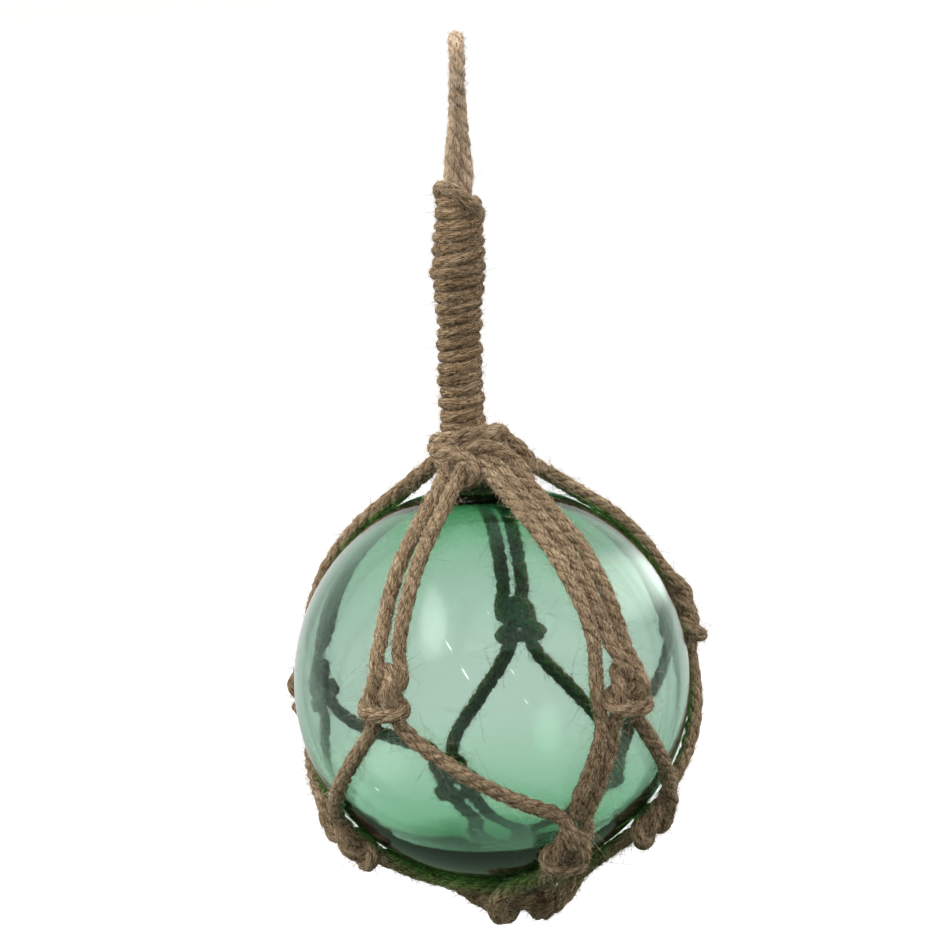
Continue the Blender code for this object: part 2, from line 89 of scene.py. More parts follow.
focal = CAMERA_AWAY / METRES_PER_PIXEL
forward = Vector((0, math.cos(CAMERA_UP), -math.sin(CAMERA_UP)))
level = Vector((1, 0, 0))
upward = Vector((0, math.sin(CAMERA_UP), math.cos(CAMERA_UP)))
tilted_right = math.cos(CAMERA_TILT) * level - math.sin(CAMERA_TILT) * upward
tilted_up = math.sin(CAMERA_TILT) * level + math.cos(CAMERA_TILT) * upward
turn = Matrix((tilted_right, tilted_up, -forward)).transposed()
ball_offset = Vector((BALL_IN_PICTURE[0] - PICTURE / 2, PICTURE / 2 - BALL_IN_PICTURE[1], -focal))
turn = turn @ ball_offset.rotation_difference(Vector((0, 0, -1))).to_matrix()

camera = add_object("camera", bpy.data.cameras.new("camera"))
camera.data.sensor_width = SENSOR
camera.data.lens = focal / PICTURE * SENSOR
camera.location = Vector(BALL_CENTRE) - CAMERA_AWAY * forward
camera.rotation_euler = turn.to_euler()
bpy.context.scene.camera = camera
print("camera at", [round(v, 3) for v in camera.location], "lens", round(camera.data.lens, 1))

# %% [markdown]
# Every cord of the net lies on the ball, so its points are given by an azimuth, a latitude and a height
# over the glass. The net leans a little to the left, as it was pulled over the ball by hand.

# %% Find places on the glass
NET_LEAN = math.radians(-1.8)
COLLAR_ASIDE = 0.0015
RING_ASIDE = 0.0030
CORD_GAP = 0.00058
RUN_STEP = 1.5
RIGHT = np.array([math.cos(NET_LEAN), 0.0, -math.sin(NET_LEAN)])
BACK = np.array([0.0, 1.0, 0.0])
UP = np.array([math.sin(NET_LEAN), 0.0, math.cos(NET_LEAN)])


def level_directions(azimuth):
    """The outward and sideways directions at an azimuth, both level in the net's own frame."""
    a = math.radians(azimuth)
    return math.sin(a) * RIGHT - math.cos(a) * BACK, math.cos(a) * RIGHT + math.sin(a) * BACK


def glass_directions(azimuth, latitude):
    """Sideways, up along the glass, and out from it."""
    outward, side = level_directions(azimuth)
    b = math.radians(latitude)
    return side, math.cos(b) * UP - math.sin(b) * outward, math.cos(b) * outward + math.sin(b) * UP


def over_glass(point, height):
    """The point moved to a height over the glass, in cord diameters."""
    way = point - BALL_CENTRE
    return BALL_CENTRE + way / np.linalg.norm(way) * (BALL_RADIUS + height * CORD)


def taut_run(start, end):
    """Points of a cord pulled tight round the glass, without its two ends."""
    radius = BALL_RADIUS + CORD / 2 + CORD_GAP
    p, q = start - BALL_CENTRE, end - BALL_CENTRE
    far_p, far_q = np.linalg.norm(p), np.linalg.norm(q)
    across = math.acos(np.clip(p @ q / far_p / far_q, -1.0, 1.0))
    first = p / far_p
    second = q / far_q - first * math.cos(across)
    second = second / np.linalg.norm(second)
    leave_p = math.acos(min(1.0, radius / far_p))
    leave_q = math.acos(min(1.0, radius / far_q))
    if across <= leave_p + leave_q:
        return []
    count = max(2, round((across - leave_p - leave_q) * radius / (RUN_STEP * CORD)))
    angles = np.linspace(leave_p, across - leave_q, count + 1)[1:-1]
    return [BALL_CENTRE + radius * (math.cos(t) * first + math.sin(t) * second) for t in angles]


print("the net's top is over", (BALL_CENTRE + BALL_RADIUS * UP).round(4))

# %% [markdown]
# A netting knot is a sheet bend. The cord of the row below turns back in a bight, and the cord of the
# row above comes down through it, passes behind and is trapped under itself. The two patterns give
# that path in cord diameters: to the right, up, and out from the glass.

# %% Write down the knots
UPPER_KNOTS = ((-119, -2.5), (-30, 9.5), (38, 4.5), (108, 9.5), (171, 5.5))
LOWER_KNOTS = ((-78, -43.5), (23, -43.0), (71, -43.0), (135, -38.0), (198, -40.0))
KNOT_WIDTH, KNOT_TALL = 1.45, 1.5
BIGHT = (
    (-0.85, -1.85, 0.55), (-0.55, -1.35, 0.70), (-0.48, -0.75, 0.95), (-0.52, -0.05, 1.30),
    (-0.50, 0.65, 1.15), (-0.10, 1.30, 0.95), (0.38, 1.15, 1.05), (0.58, 0.65, 1.35),
    (0.56, 0.00, 1.60), (0.48, -0.75, 1.00), (0.55, -1.35, 0.70), (0.85, -1.85, 0.55),
)
WRAP = (
    (-0.42, 2.10, 0.85), (-0.40, 1.75, 1.35), (-0.25, 1.30, 1.68), (-0.05, 0.80, 1.50),
    (0.05, 0.40, 0.95), (0.20, 0.00, 0.38), (0.60, -0.50, 0.35), (1.10, -0.85, 0.60),
    (1.28, -1.00, 1.20), (0.90, -1.05, 1.72), (0.45, -1.05, 1.88), (-0.45, -1.05, 1.84),
    (-0.95, -1.00, 1.62), (-1.28, -0.75, 1.10), (-1.18, -0.40, 0.60), (-0.70, -0.10, 0.50),
    (-0.25, -0.05, 0.75), (0.20, -0.02, 1.02), (0.70, 0.05, 0.95), (1.15, 0.35, 0.85),
    (0.98, 0.90, 0.75), (0.54, 1.65, 0.60),
)
HITCH = (
    (-1.00, 2.00, 0.60), (-0.30, 1.10, 0.55), (0.28, 0.20, 0.70), (0.34, -0.70, 1.25),
    (0.05, -0.88, 2.00), (-0.30, -0.22, 2.68), (-0.35, 0.70, 2.68), (0.15, 1.50, 2.00),
    (0.85, 2.20, 1.10),
)
PAST_UPPER = (
    (-0.96, 3.0, 0.55), (-1.32, 1.2, 0.50), (-1.48, 0.0, 0.38), (-1.42, -0.8, 0.38),
    (-1.20, -1.5, 0.50), (-1.35, -2.4, 0.55),
)
INTO_LOWER = ((0.10, 3.4, 0.55), (0.12, 2.3, 0.55), (0.10, 1.9, 0.55))
EXTRA_KNOTS = (2, 1)
RING_DEPTH = 1.70
LEG_FOOT = (0.58, 4.3, 0.56)


def knot_points(azimuth, latitude, pattern):
    """Place a knot's pattern on the glass."""
    side, up, out = glass_directions(azimuth, latitude)
    place = BALL_CENTRE + BALL_RADIUS * out
    points = []
    for x, y, z in pattern:
        point = place + CORD * (x * KNOT_WIDTH * side + y * KNOT_TALL * up + z * out)
        points.append(over_glass(point, z))
    return points


def by_the_ring(azimuth, places):
    """Points by the bottom ring: along it, out from its middle line, and over the glass."""
    outward, side = level_directions(azimuth)
    points = []
    for x, y, z in places:
        flat = (RING_RADIUS + y * CORD) * outward + x * CORD * side + RING_ASIDE * RIGHT
        low = BALL_CENTRE + flat - math.sqrt(BALL_RADIUS**2 - flat @ flat) * UP
        points.append(over_glass(low, z))
    return points


def way_round(row, i):
    """The azimuth of knot i and that of the next one, which is always the larger."""
    here, following = row[i][0], row[(i + 1) % len(row)][0]
    return here, following + (360 if following < here else 0)


print(len(UPPER_KNOTS), "upper knots and", len(LOWER_KNOTS), "lower ones")

# %% [markdown]
# At the collar the top row's cord goes over in an arch from each pair of strands to the next. All the
# arches together are what the lashing and the neck are tied to.

# %% Lead the net's cords
ARCH_FOOT, ARCH_TOP = (3.20, 1.70), (1.75, 3.00)
ARCH_SHARES = (0.38, 0.62)
STRAND_SPREAD = 0.62
EXTRA_TOP, EXTRA_FOOT = (-1.30, 2.00, 2.35), (-1.62, 3.35, 1.55)


def arch_point(azimuth, aside, outward, high):
    """A point by the collar, in cord diameters from where the glass ends under it."""
    out, side = level_directions(azimuth)
    top = BALL_CENTRE + BALL_RADIUS * UP + COLLAR_ASIDE * RIGHT
    return top + CORD * (aside * side + outward * out + high * UP)


def top_row():
    """The upper row: wrapped round the row below, and arched from knot to knot at the collar."""
    points = []
    for i, (azimuth, latitude) in enumerate(UPPER_KNOTS):
        knot = knot_points(azimuth, latitude, WRAP)
        here, following = way_round(UPPER_KNOTS, i)
        left, right = (arch_point(azimuth, aside, *ARCH_FOOT) for aside in (-STRAND_SPREAD, STRAND_SPREAD))
        points += [left, *taut_run(left, knot[0]), *knot, *taut_run(knot[-1], right), right]
        points += [arch_point(here + s * (following - here), 0.0, *ARCH_TOP) for s in ARCH_SHARES]
    return points


def middle_row():
    """The middle row: a zigzag, turned back at the upper knots and wrapped at the lower ones."""
    points = []
    for i, upper in enumerate(UPPER_KNOTS):
        bight = knot_points(*upper, BIGHT)
        wrap = knot_points(*LOWER_KNOTS[i], WRAP)
        before = knot_points(*LOWER_KNOTS[i - 1], WRAP)
        points += taut_run(before[-1], bight[0]) if i else []
        points += [*bight, *taut_run(bight[-1], wrap[0]), *wrap]
    return points + taut_run(points[-1], points[0])


def bottom_row():
    """The lowest row: turned back at the lower knots, run in pairs to the ring, and hitched round it."""
    points = []
    for i, lower in enumerate(LOWER_KNOTS):
        here, following = way_round(LOWER_KNOTS, i)
        bight = knot_points(*lower, BIGHT[1:-1])
        aside, outward, height = LEG_FOOT
        left, right = by_the_ring(here, ((-aside, outward, height), (aside, outward, height)))
        points += [left, *taut_run(left, bight[0]), *bight, *taut_run(bight[-1], right), right]
        points += by_the_ring((here + following) / 2, HITCH)
    return points


def extra_strand():
    """A third strand in the front right group, tucked in at the lower knot."""
    azimuth = UPPER_KNOTS[EXTRA_KNOTS[0]][0]
    upper = knot_points(*UPPER_KNOTS[EXTRA_KNOTS[0]], PAST_UPPER)
    lower = knot_points(*LOWER_KNOTS[EXTRA_KNOTS[1]], INTO_LOWER)
    top, foot = arch_point(azimuth, *EXTRA_TOP), arch_point(azimuth, *EXTRA_FOOT)
    return [top, foot, *taut_run(foot, upper[0]), *upper, *taut_run(upper[-1], lower[0]), *lower]


def ring_points():
    """The small ring of cord under the ball."""
    middle = BALL_CENTRE - (BALL_RADIUS + RING_DEPTH * CORD) * UP + RING_ASIDE * RIGHT
    angles = np.linspace(0.0, 2 * math.pi, 12, endpoint=False)
    return [middle + RING_RADIUS * (math.cos(a) * RIGHT + math.sin(a) * BACK) for a in angles]


print("points by row", len(top_row()), len(middle_row()), len(bottom_row()))

# %% [markdown]
# A smooth curve through the points is walked in equal steps. Then all cords are eased apart together:
# each round smooths them a little, pulls them back to their own way, and pushes two that come too
# close away from each other and off the glass. That is how cords settle in a real knot.

# %% Walk along a smooth line
WALK_PARTS = 12


def walk(points, step, closed):
    """A smooth curve through the points, in equal steps."""
    points = np.array(points)
    count = len(points)
    if closed:
        padded = np.vstack([points[-1:], points, points[:2]])
    else:
        padded = np.vstack([2 * points[:1] - points[1:2], points, 2 * points[-1:] - points[-2:-1]])
    dense = []
    for i in range(count if closed else count - 1):
        a, b, c, e = padded[i:i + 4]
        t1 = max(1e-6, np.linalg.norm(b - a)) ** 0.5
        t2 = t1 + max(1e-6, np.linalg.norm(c - b)) ** 0.5
        t3 = t2 + max(1e-6, np.linalg.norm(e - c)) ** 0.5
        for t in np.linspace(t1, t2, WALK_PARTS, endpoint=False):
            ab = (t1 - t) / t1 * a + t / t1 * b
            bc = (t2 - t) / (t2 - t1) * b + (t - t1) / (t2 - t1) * c
            ce = (t3 - t) / (t3 - t2) * c + (t - t2) / (t3 - t2) * e
            low = (t2 - t) / t2 * ab + t / t2 * bc
            high = (t3 - t) / (t3 - t1) * bc + (t - t1) / (t3 - t1) * ce
            dense.append((t2 - t) / (t2 - t1) * low + (t - t1) / (t2 - t1) * high)
    dense.append(points[0] if closed else points[-1])
    dense = np.array(dense)
    along = np.concatenate([[0.0], np.cumsum(np.linalg.norm(np.diff(dense, axis=0), axis=1))])
    marks = np.linspace(0.0, along[-1], max(3, round(along[-1] / step)) + 1)
    marks = marks[:-1] if closed else marks
    return np.column_stack([np.interp(marks, along, dense[:, k]) for k in range(3)])


# %% Find where the net is tight
KNOT_SQUEEZE, RING_SQUEEZE, COLLAR_SQUEEZE = 0.66, 0.86, 0.74
KNOT_REACH, RING_REACH, COLLAR_REACH, FADE_REACH, COLLAR_MIDDLE = 2.6, 5.2, 3.2, 1.6, 2.2


def tight_places():
    """Where the net is pulled tight: a point, a reach in cord diameters and what is left of the cord."""
    places = []
    for azimuth, latitude in UPPER_KNOTS + LOWER_KNOTS:
        knot = BALL_CENTRE + BALL_RADIUS * glass_directions(azimuth, latitude)[2]
        places.append((knot, KNOT_REACH, KNOT_SQUEEZE))
    places.append((BALL_CENTRE - BALL_RADIUS * UP, RING_REACH, RING_SQUEEZE))
    collar = BALL_CENTRE + (BALL_RADIUS + COLLAR_MIDDLE * CORD) * UP
    places.append((collar, COLLAR_REACH, COLLAR_SQUEEZE))
    return places


def tightness(points):
    """The share of its diameter that a cord keeps at each point."""
    share = np.ones(len(points))
    for place, reach, least in tight_places():
        away = np.linalg.norm(points - place, axis=1) / CORD - reach
        share = np.minimum(share, least + (1.0 - least) * np.clip(away / FADE_REACH, 0.0, 1.0))
    return share


print(len(tight_places()), "tight places")

# %% Ease the cords apart
FINE_STEP = 0.45
EASE_ROUNDS, SMOOTH_ROUNDS, PAIR_ROUNDS = 200, 112, 8
SMOOTHING, HOMING, DAMPING = 0.30, 0.05, 0.35
PAIR_REACH, SAME_REACH = 1.5, 1.25


def ease_apart(cords):
    """Ease the cords, given as [points, share of the diameter, closed, held], away from each other."""
    points = np.vstack([c[0] for c in cords])
    radius = np.concatenate([c[1] for c in cords]) * CORD / 2
    owner, place, size = [], [], []
    before, after = np.arange(len(points)) - 1, np.arange(len(points)) + 1
    free = np.ones(len(points), bool)
    start = 0
    for k, (line, _, closed, held) in enumerate(cords):
        count = len(line)
        last = start + count - 1
        owner.append(np.full(count, k))
        place.append(np.arange(count))
        size.append(np.full(count, count if closed else 10**6))
        before[start] = last if closed else start
        after[last] = start if closed else last
        free[[start, last]] = closed
        free[start:last + 1] &= not held
        start = last + 1
    owner, place, size = (np.concatenate(v) for v in (owner, place, size))
    home = points.copy()
    for round_number in range(EASE_ROUNDS):
        if round_number % PAIR_ROUNDS == 0:
            square = sum(np.subtract.outer(points[:, k], points[:, k]) ** 2 for k in range(3))
            first, second = np.nonzero(np.triu(square < (PAIR_REACH * CORD) ** 2, 1))
            gap = np.abs(place[first] - place[second])
            gap = np.minimum(gap, size[first] - gap)
            keep = (owner[first] != owner[second]) | (gap > int(SAME_REACH / FINE_STEP) + 1)
            first, second = first[keep], second[keep]
        if round_number < SMOOTH_ROUNDS:
            between = (points[before] + points[after]) / 2
            points = points + (SMOOTHING * (between - points) + HOMING * (home - points)) * free[:, None]
        way = points[first] - points[second]
        length = np.linalg.norm(way, axis=1)
        short = np.maximum(0.0, radius[first] + radius[second] + CORD_GAP - length)
        push = way / np.maximum(length, 1e-9)[:, None] * (short * 0.5)[:, None]
        shared = np.ones(len(points))
        np.add.at(shared, first[short > 0], DAMPING)
        np.add.at(shared, second[short > 0], DAMPING)
        move = np.zeros_like(points)
        np.add.at(move, first, push)
        np.add.at(move, second, -push)
        points = points + move / shared[:, None] * free[:, None]
        out = points - BALL_CENTRE
        height = np.linalg.norm(out, axis=1)
        clear = np.maximum(height, BALL_RADIUS + radius + CORD_GAP)
        points = BALL_CENTRE + out / height[:, None] * clear[:, None]
    marks = np.cumsum([0] + [len(c[0]) for c in cords])
    return [points[marks[k]:marks[k + 1]] for k in range(len(cords))]


# %% Let the net settle
step = FINE_STEP * CORD
net = []
for line, closed, held in (
    (top_row(), True, False), (middle_row(), True, False), (bottom_row(), True, False),
    (extra_strand(), False, False), (ring_points(), True, True),
):
    line = walk(line, step, closed)
    share = np.full(len(line), RING_SQUEEZE) if held else tightness(line)
    net.append([line, share, closed, held])
eased = ease_apart(net)
TOP_ROW, MIDDLE_ROW, BOTTOM_ROW, EXTRA, BOTTOM_RING = eased
print("eased", [len(line) for line in eased], "points")

# %% [markdown]
# A jute cord is three soft plies twisted together. The rope is modelled as a flat grid that is rolled
# up: one way of the grid runs along the cord, the other round it. The section has three low lobes that
# turn as they go, and a slow unevenness, because jute is never quite even. The UV map keeps the length
# in cord diameters and the turn with the twist taken off, so that fibres painted by it follow the plies.

# %% Make a slow unevenness
def slow_noise(x, draws, waves=7, shortest=1.2, longest=9.0):
    """A smooth random line: a sum of a few waves with random lengths and starts."""
    total = np.zeros_like(x)
    for length, start in zip(draws.uniform(shortest, longest, waves), draws.uniform(0, 2 * math.pi, waves)):
        total += np.sin(2 * math.pi * x / length + start)
    return total / math.sqrt(waves)


# %% Carry a direction along a line
def carry_frames(points, closed):
    """A sideways direction at each point that turns as little as possible along the line."""
    if closed:
        tangents = np.roll(points, -1, axis=0) - np.roll(points, 1, axis=0)
    else:
        tangents = np.gradient(points, axis=0)
    tangents = tangents / np.linalg.norm(tangents, axis=1)[:, None]
    sides = np.zeros_like(points)
    away = points[0] - BALL_CENTRE
    side = away - tangents[0] * (away @ tangents[0])
    for i, t in enumerate(tangents):
        side = side - t * (side @ t)
        side = side / np.linalg.norm(side)
        sides[i] = side
    return tangents, sides


# %% Roll up a rope
SIDES = 24
ROPE_STEP = 0.16
PLY_DEPTH = 0.15
TWIST_LENGTH = 3.5
ROPE_FULL = 1.03
LOBE_RISE, LOBE_POWER = 1.35, 0.7
LUMPS, SMALL_LUMPS, UNEVEN = 0.060, 0.045, 0.02
ROPES = []


def roll_rope(name, points, share, closed, twist=1.0, depth=PLY_DEPTH, step=ROPE_STEP):
    """A three-ply rope along the points, whose thickness is a share of the cord's diameter."""
    draws = np.random.default_rng(len(points) * 7 + len(name))
    fine = walk(points, step * CORD, closed)
    old = np.linspace(0.0, 1.0, len(points) + closed)
    new = np.linspace(0.0, 1.0, len(fine) + closed)[:len(fine)]
    share = np.interp(new, old, np.append(share, share[0]) if closed else share)
    tangents, side = carry_frames(fine, closed)
    across = np.cross(tangents, side)
    length = np.arange(len(fine)) * step
    whole = len(fine) * step if closed else length[-1]
    turns = twist * whole / TWIST_LENGTH
    # On a closed rope the plies have to meet, so the twist is rounded to a third of a turn.
    if closed:
        last, first = side[-1], side[0]
        bent = last - tangents[0] * (last @ tangents[0])
        slip = math.atan2(np.cross(first, bent) @ tangents[0], first @ bent) / (2 * math.pi)
        turns = (round((turns + slip) * 3) / 3) - slip
    # The flat grid: x counts the rows along the rope, and y the corners round it.
    grid = bmesh.new()
    rows = len(fine) if closed else len(fine) - 1
    bmesh.ops.create_grid(grid, x_segments=rows, y_segments=SIDES, size=0.5)
    mesh = bpy.data.meshes.new(name)
    ply_layer = grid.loops.layers.uv.new("Plies")
    fibre_layer = grid.loops.layers.uv.new("Fibres")
    for vertex in grid.verts:
        vertex.co.x = round((vertex.co.x + 0.5) * rows)
        vertex.co.y = round((vertex.co.y + 0.5) * SIDES)
    for face in grid.faces:
        for loop in face.loops:
            place, turned = loop.vert.co.x, loop.vert.co.y / SIDES
            loop[ply_layer].uv = (place * step, turned)
            loop[fibre_layer].uv = (place * step, turned - place / rows * turns)
    grid.to_mesh(mesh)
    grid.free()
    flat = np.zeros(len(mesh.vertices) * 3)
    mesh.vertices.foreach_get("co", flat)
    lap = flat[0::3].astype(int)
    row = lap % len(fine) if closed else lap
    around = flat[1::3].astype(int) % SIDES / SIDES
    angle = 2 * math.pi * (around - lap / rows * turns)
    # The section: three lobes, two kinds of lumps and a slow swell.
    lobes = np.abs(np.cos(1.5 * 2 * math.pi * around)) ** LOBE_POWER
    wide = length[row] + 0.8 * np.sin(2 * math.pi * around)
    small = length[row] * 1.7 + 1.9 * np.cos(2 * math.pi * (around + 0.2))
    bumps = LUMPS * slow_noise(wide, draws, 9, 0.7, 2.6)
    bumps += SMALL_LUMPS * slow_noise(small, draws, 9, 0.5, 1.6)
    swell = 1.0 + UNEVEN * slow_noise(length[row], draws, 5, 4.0, 14.0)
    section = 1.0 - depth + LOBE_RISE * depth * lobes + bumps
    radius = CORD / 2 * ROPE_FULL * share[row] * swell * section
    way = np.cos(angle)[:, None] * side[row] + np.sin(angle)[:, None] * across[row]
    mesh.vertices.foreach_set("co", (fine[row] + radius[:, None] * way).ravel())
    # The rolled grid is sewn up, and an open rope gets its two ends.
    weld = bmesh.new()
    weld.from_mesh(mesh)
    bmesh.ops.remove_doubles(weld, verts=weld.verts, dist=1e-7)
    if not closed:
        bmesh.ops.holes_fill(weld, edges=[e for e in weld.edges if e.is_boundary], sides=0)
    bmesh.ops.recalc_face_normals(weld, faces=weld.faces)
    for face in weld.faces:
        face.smooth = True
    weld.to_mesh(mesh)
    weld.free()
    ROPES.append((fine, side, across, CORD / 2 * ROPE_FULL * share))
    print(name, round(whole * CORD, 3), "m,", len(mesh.polygons), "faces")
    return add_object(name, mesh)


# %% [markdown]
# In the knots the real cord is pressed, not thin: neighbours flatten against each other. So the visible
# rope is a little thicker there than its solid, and touching ropes sink slightly into each other.

# %% Make the net's cords
PLUMP = 0.96
SWELL, SWELL_FROM = 0.34, 0.97


def plump(share):
    """Give back most of the thickness that the solids leave out in the tight places."""
    return 1.0 - (1.0 - share) * (1.0 - PLUMP)


def swollen(line, share):
    """Under the ball the cord hangs loose and full, so that its lumps close up."""
    below = np.clip((BALL_CENTRE[2] - SWELL_FROM * BALL_RADIUS - line[:, 2]) / CORD, 0.0, 1.0)
    return plump(share) * (1.0 + SWELL * below)


net_top_rope = roll_rope("net_top_rope", TOP_ROW, plump(net[0][1]), True)
net_middle_rope = roll_rope("net_middle_rope", MIDDLE_ROW, plump(net[1][1]), True)
net_bottom_rope = roll_rope("net_bottom_rope", BOTTOM_ROW, swollen(BOTTOM_ROW, net[2][1]), True)
net_extra_rope = roll_rope("net_extra_rope", EXTRA, plump(net[3][1]), False)
bottom_ring_rope = roll_rope("bottom_ring_rope", BOTTOM_RING, swollen(BOTTOM_RING, net[4][1]), True)

# %% [markdown]
# The hanger is one cord bent double: its two legs run down inside the neck, and above it they twist
# round each other and open into the eye, which faces sideways. A second cord is wound round the legs
# in close turns. Its turns are worked out as a helix, wider near the top where it is wound twice.

# %% Measure the hanger
NECK_BEND = ((0.0, -0.0020), (0.35, -0.0040), (0.7, -0.0052), (1.0, -0.0056))
EYE_WIDTH = 0.012
EYE_LINE = (
    (0.08, 0.52, 0.0, 10), (0.30, 0.56, 0.0, 52), (0.48, 0.62, 0.0, 76),
    (0.64, 0.0, 0.6, 86), (0.76, 0.0, 0.9, 90),
)
LEG_HALF = (0.74 * CORD + CORD_GAP) / 2
LEG_SHARE = 0.15
WHIP_TURNS = 20.2
WHIP_PAST = 0.0040
WHIP_TILT = 0.0034
TILTED_TURNS = 1.6
WHIP_LEAN = 0.0006
WHIP_CORD = 0.89
WHIP_RADIUS = (
    (0.0, 0.0060), (0.06, 0.0067), (0.22, 0.0074), (0.32, 0.0081), (0.42, 0.0068), (0.52, 0.0061),
    (1.0, 0.0062),
)
WHIP_WOBBLE = (0.00030, 0.00024)
TURN_PARTS = 14


def read_off(table, x):
    """The value at x in a table of (x, value) pairs."""
    return np.interp(x, *np.array(table).T)


def neck_middle(z):
    """The neck's middle at a height, which stands a little to the left of the hang point."""
    return read_off(NECK_BEND, (NECK_TOP - z) / NECK_LENGTH)


# %% Make the hanging loop
LOOP_THIN, LOOP_FILL, LOOP_FADE = 0.80, 0.23, 0.7


def loop_points():
    """The hanger's cord: up one leg, round the eye and down the other leg."""
    eye = (EYE_WIDTH + CORD) / 2
    heights = [NECK_FOOT - LEG_SHARE * COLLAR_HEIGHT, NECK_FOOT, NECK_FOOT + 0.35 * NECK_LENGTH]
    heights += [NECK_FOOT + 0.7 * NECK_LENGTH, NECK_TOP - CORD / 2]
    rise = [np.array([neck_middle(z) - LEG_HALF, 0.0, z]) for z in heights]
    fall = [np.array([neck_middle(z) + LEG_HALF, 0.0, z]) for z in reversed(heights)]
    for share, in_cords, in_eyes, degrees in EYE_LINE:
        middle = np.array([NECK_BEND[0][1] * (1.0 - share), 0.0, NECK_TOP * (1.0 - share)])
        a = math.radians(degrees)
        way = (in_cords * CORD + in_eyes * eye) * np.array([math.cos(a), math.sin(a), 0.0])
        rise.append(middle - way)
        fall.insert(0, middle + way)
    for a in np.linspace(0.0, math.pi, 7):
        rise.append(np.array([0.0, -eye * math.cos(a), CORD / 2 - eye * (1 - math.sin(a))]))
    return rise + fall


loop_line = walk(loop_points(), step, False)
in_neck = np.clip((loop_line[:, 2] - NECK_TOP) / CORD + LOOP_FADE, 0.0, 1.0)
loop_rope = roll_rope("hanging_loop_rope", loop_line, LOOP_THIN + LOOP_FILL * in_neck, False)


# %% Wind the whipping
def whipping_points():
    """The wound cord, from the top of the neck to its foot."""
    points = []
    slow, quick = WHIP_WOBBLE
    for turned in np.arange(0.0, WHIP_TURNS, 1 / TURN_PARTS):
        down = turned / WHIP_TURNS
        z = NECK_TOP - WHIP_CORD * CORD / 2 - (NECK_LENGTH + WHIP_PAST - WHIP_CORD * CORD) * down
        wobble = slow * math.sin(turned * 4.1) + quick * math.sin(turned * 9.7 + 1.0)
        radius = read_off(WHIP_RADIUS, down) + wobble
        a = -2 * math.pi * turned
        unlevel = math.sin(1.7 * turned + 0.9 * math.sin(0.8 * turned))
        z += WHIP_LEAN * unlevel * math.cos(a + 2.1 * math.sin(0.55 * turned))
        z -= WHIP_TILT * (0.5 + 0.5 * math.cos(a)) * max(0.0, 1.0 - turned / TILTED_TURNS)
        points.append((neck_middle(z) + radius * math.cos(a), radius * math.sin(a), z))
    return points


whip_line = walk(whipping_points(), step, False)
whip_share = np.full(len(whip_line), WHIP_CORD)
whipping_rope = roll_rope("neck_whipping_rope", whip_line, whip_share, False, twist=0.5, depth=0.09, step=0.2)

# %% [markdown]
# The collar is where everything meets. The lashing is wound round the arches of the top row in one
# higher and one lower turn, and its end hangs over the left pair. Other bands of it cross the front, the
# right side and the back. The knot that ends the whipping, at the top of the neck, is made here too.
# Every band is a short rope through a few points, placed one by one, since no two of them are alike.

# %% Write down the collar's bands
COLLAR_MID = np.array([-0.0051, 0.0, -0.1555])
WHIP_KNOT = (
    (-2.0, 6.0, 98.0), (-4.0, 1.5, 101.0), (-3.4, -4.0, 103.4), (-0.8, -7.4, 103.6), (3.0, -8.8, 101.0),
    (7.2, -8.0, 97.2), (9.6, -3.6, 94.0), (9.6, 2.0, 91.4),
)
LASHING_FRONT = (
    (-9.5, 6.0, 6.5), (-10.6, -0.5, 7.6), (-8.6, -6.5, 8.8), (-3.0, -10.5, 10.0), (2.5, -11.4, 10.9),
    (8.0, -9.6, 11.2), (12.2, -5.4, 10.6), (13.8, 0.5, 9.2), (10.5, 7.5, 8.0), (3.0, 11.5, 6.6),
    (-6.5, 10.0, 6.0), (-11.0, 3.0, 5.2), (-10.4, -6.5, 4.8), (-6.6, -12.2, 5.4), (-1.9, -15.8, 3.8),
    (2.2, -17.8, 0.8), (3.4, -18.4, -2.6), (1.4, -17.4, -5.6), (-1.6, -14.6, -5.6),
)
LASHING_ARCH = (
    (-8.6, -4.0, 9.0), (-10.2, -7.0, 3.6), (-7.4, -10.6, 1.0), (-3.2, -11.8, 3.4), (2.0, -13.0, 6.2),
    (6.6, -13.2, 6.8), (11.0, -12.6, 5.4), (14.6, -11.6, 3.0), (18.4, -11.0, -0.2), (21.4, -11.6, -4.6),
    (23.3, -12.4, -8.2),
)
LASHING_SIDE = (
    (9.0, 3.0, 9.0), (14.0, -0.5, 8.2), (18.0, -2.0, 5.6), (21.6, -2.6, 2.2), (24.0, -3.4, -1.8),
    (24.6, -4.6, -5.4),
)
LASHING_BACK = (
    (1.0, -9.5, -2.4), (6.0, -10.0, -1.6), (11.0, -9.0, -1.4), (16.0, -7.0, -2.4), (18.0, -3.0, -3.0),
)
print(len(LASHING_FRONT + LASHING_ARCH + LASHING_SIDE + LASHING_BACK), "points in the collar's bands")

# %% Make the collar
BANDS = (
    ("neck_knot_rope", WHIP_KNOT, 0.94), ("collar_arch_rope", LASHING_ARCH, 1.0),
    ("collar_side_rope", LASHING_SIDE, 0.95), ("collar_back_rope", LASHING_BACK, 0.95),
)
LASHING_THICK, BEND_THICKER = 1.02, 0.16
BEND_ASIDE, BEND_REACH, BEND_ABOVE = 0.006, 0.006, -0.148


def from_collar(places):
    """Points given in millimetres from the collar's middle: right, back and up."""
    return [COLLAR_MID + np.array(p) / 1000 for p in places]


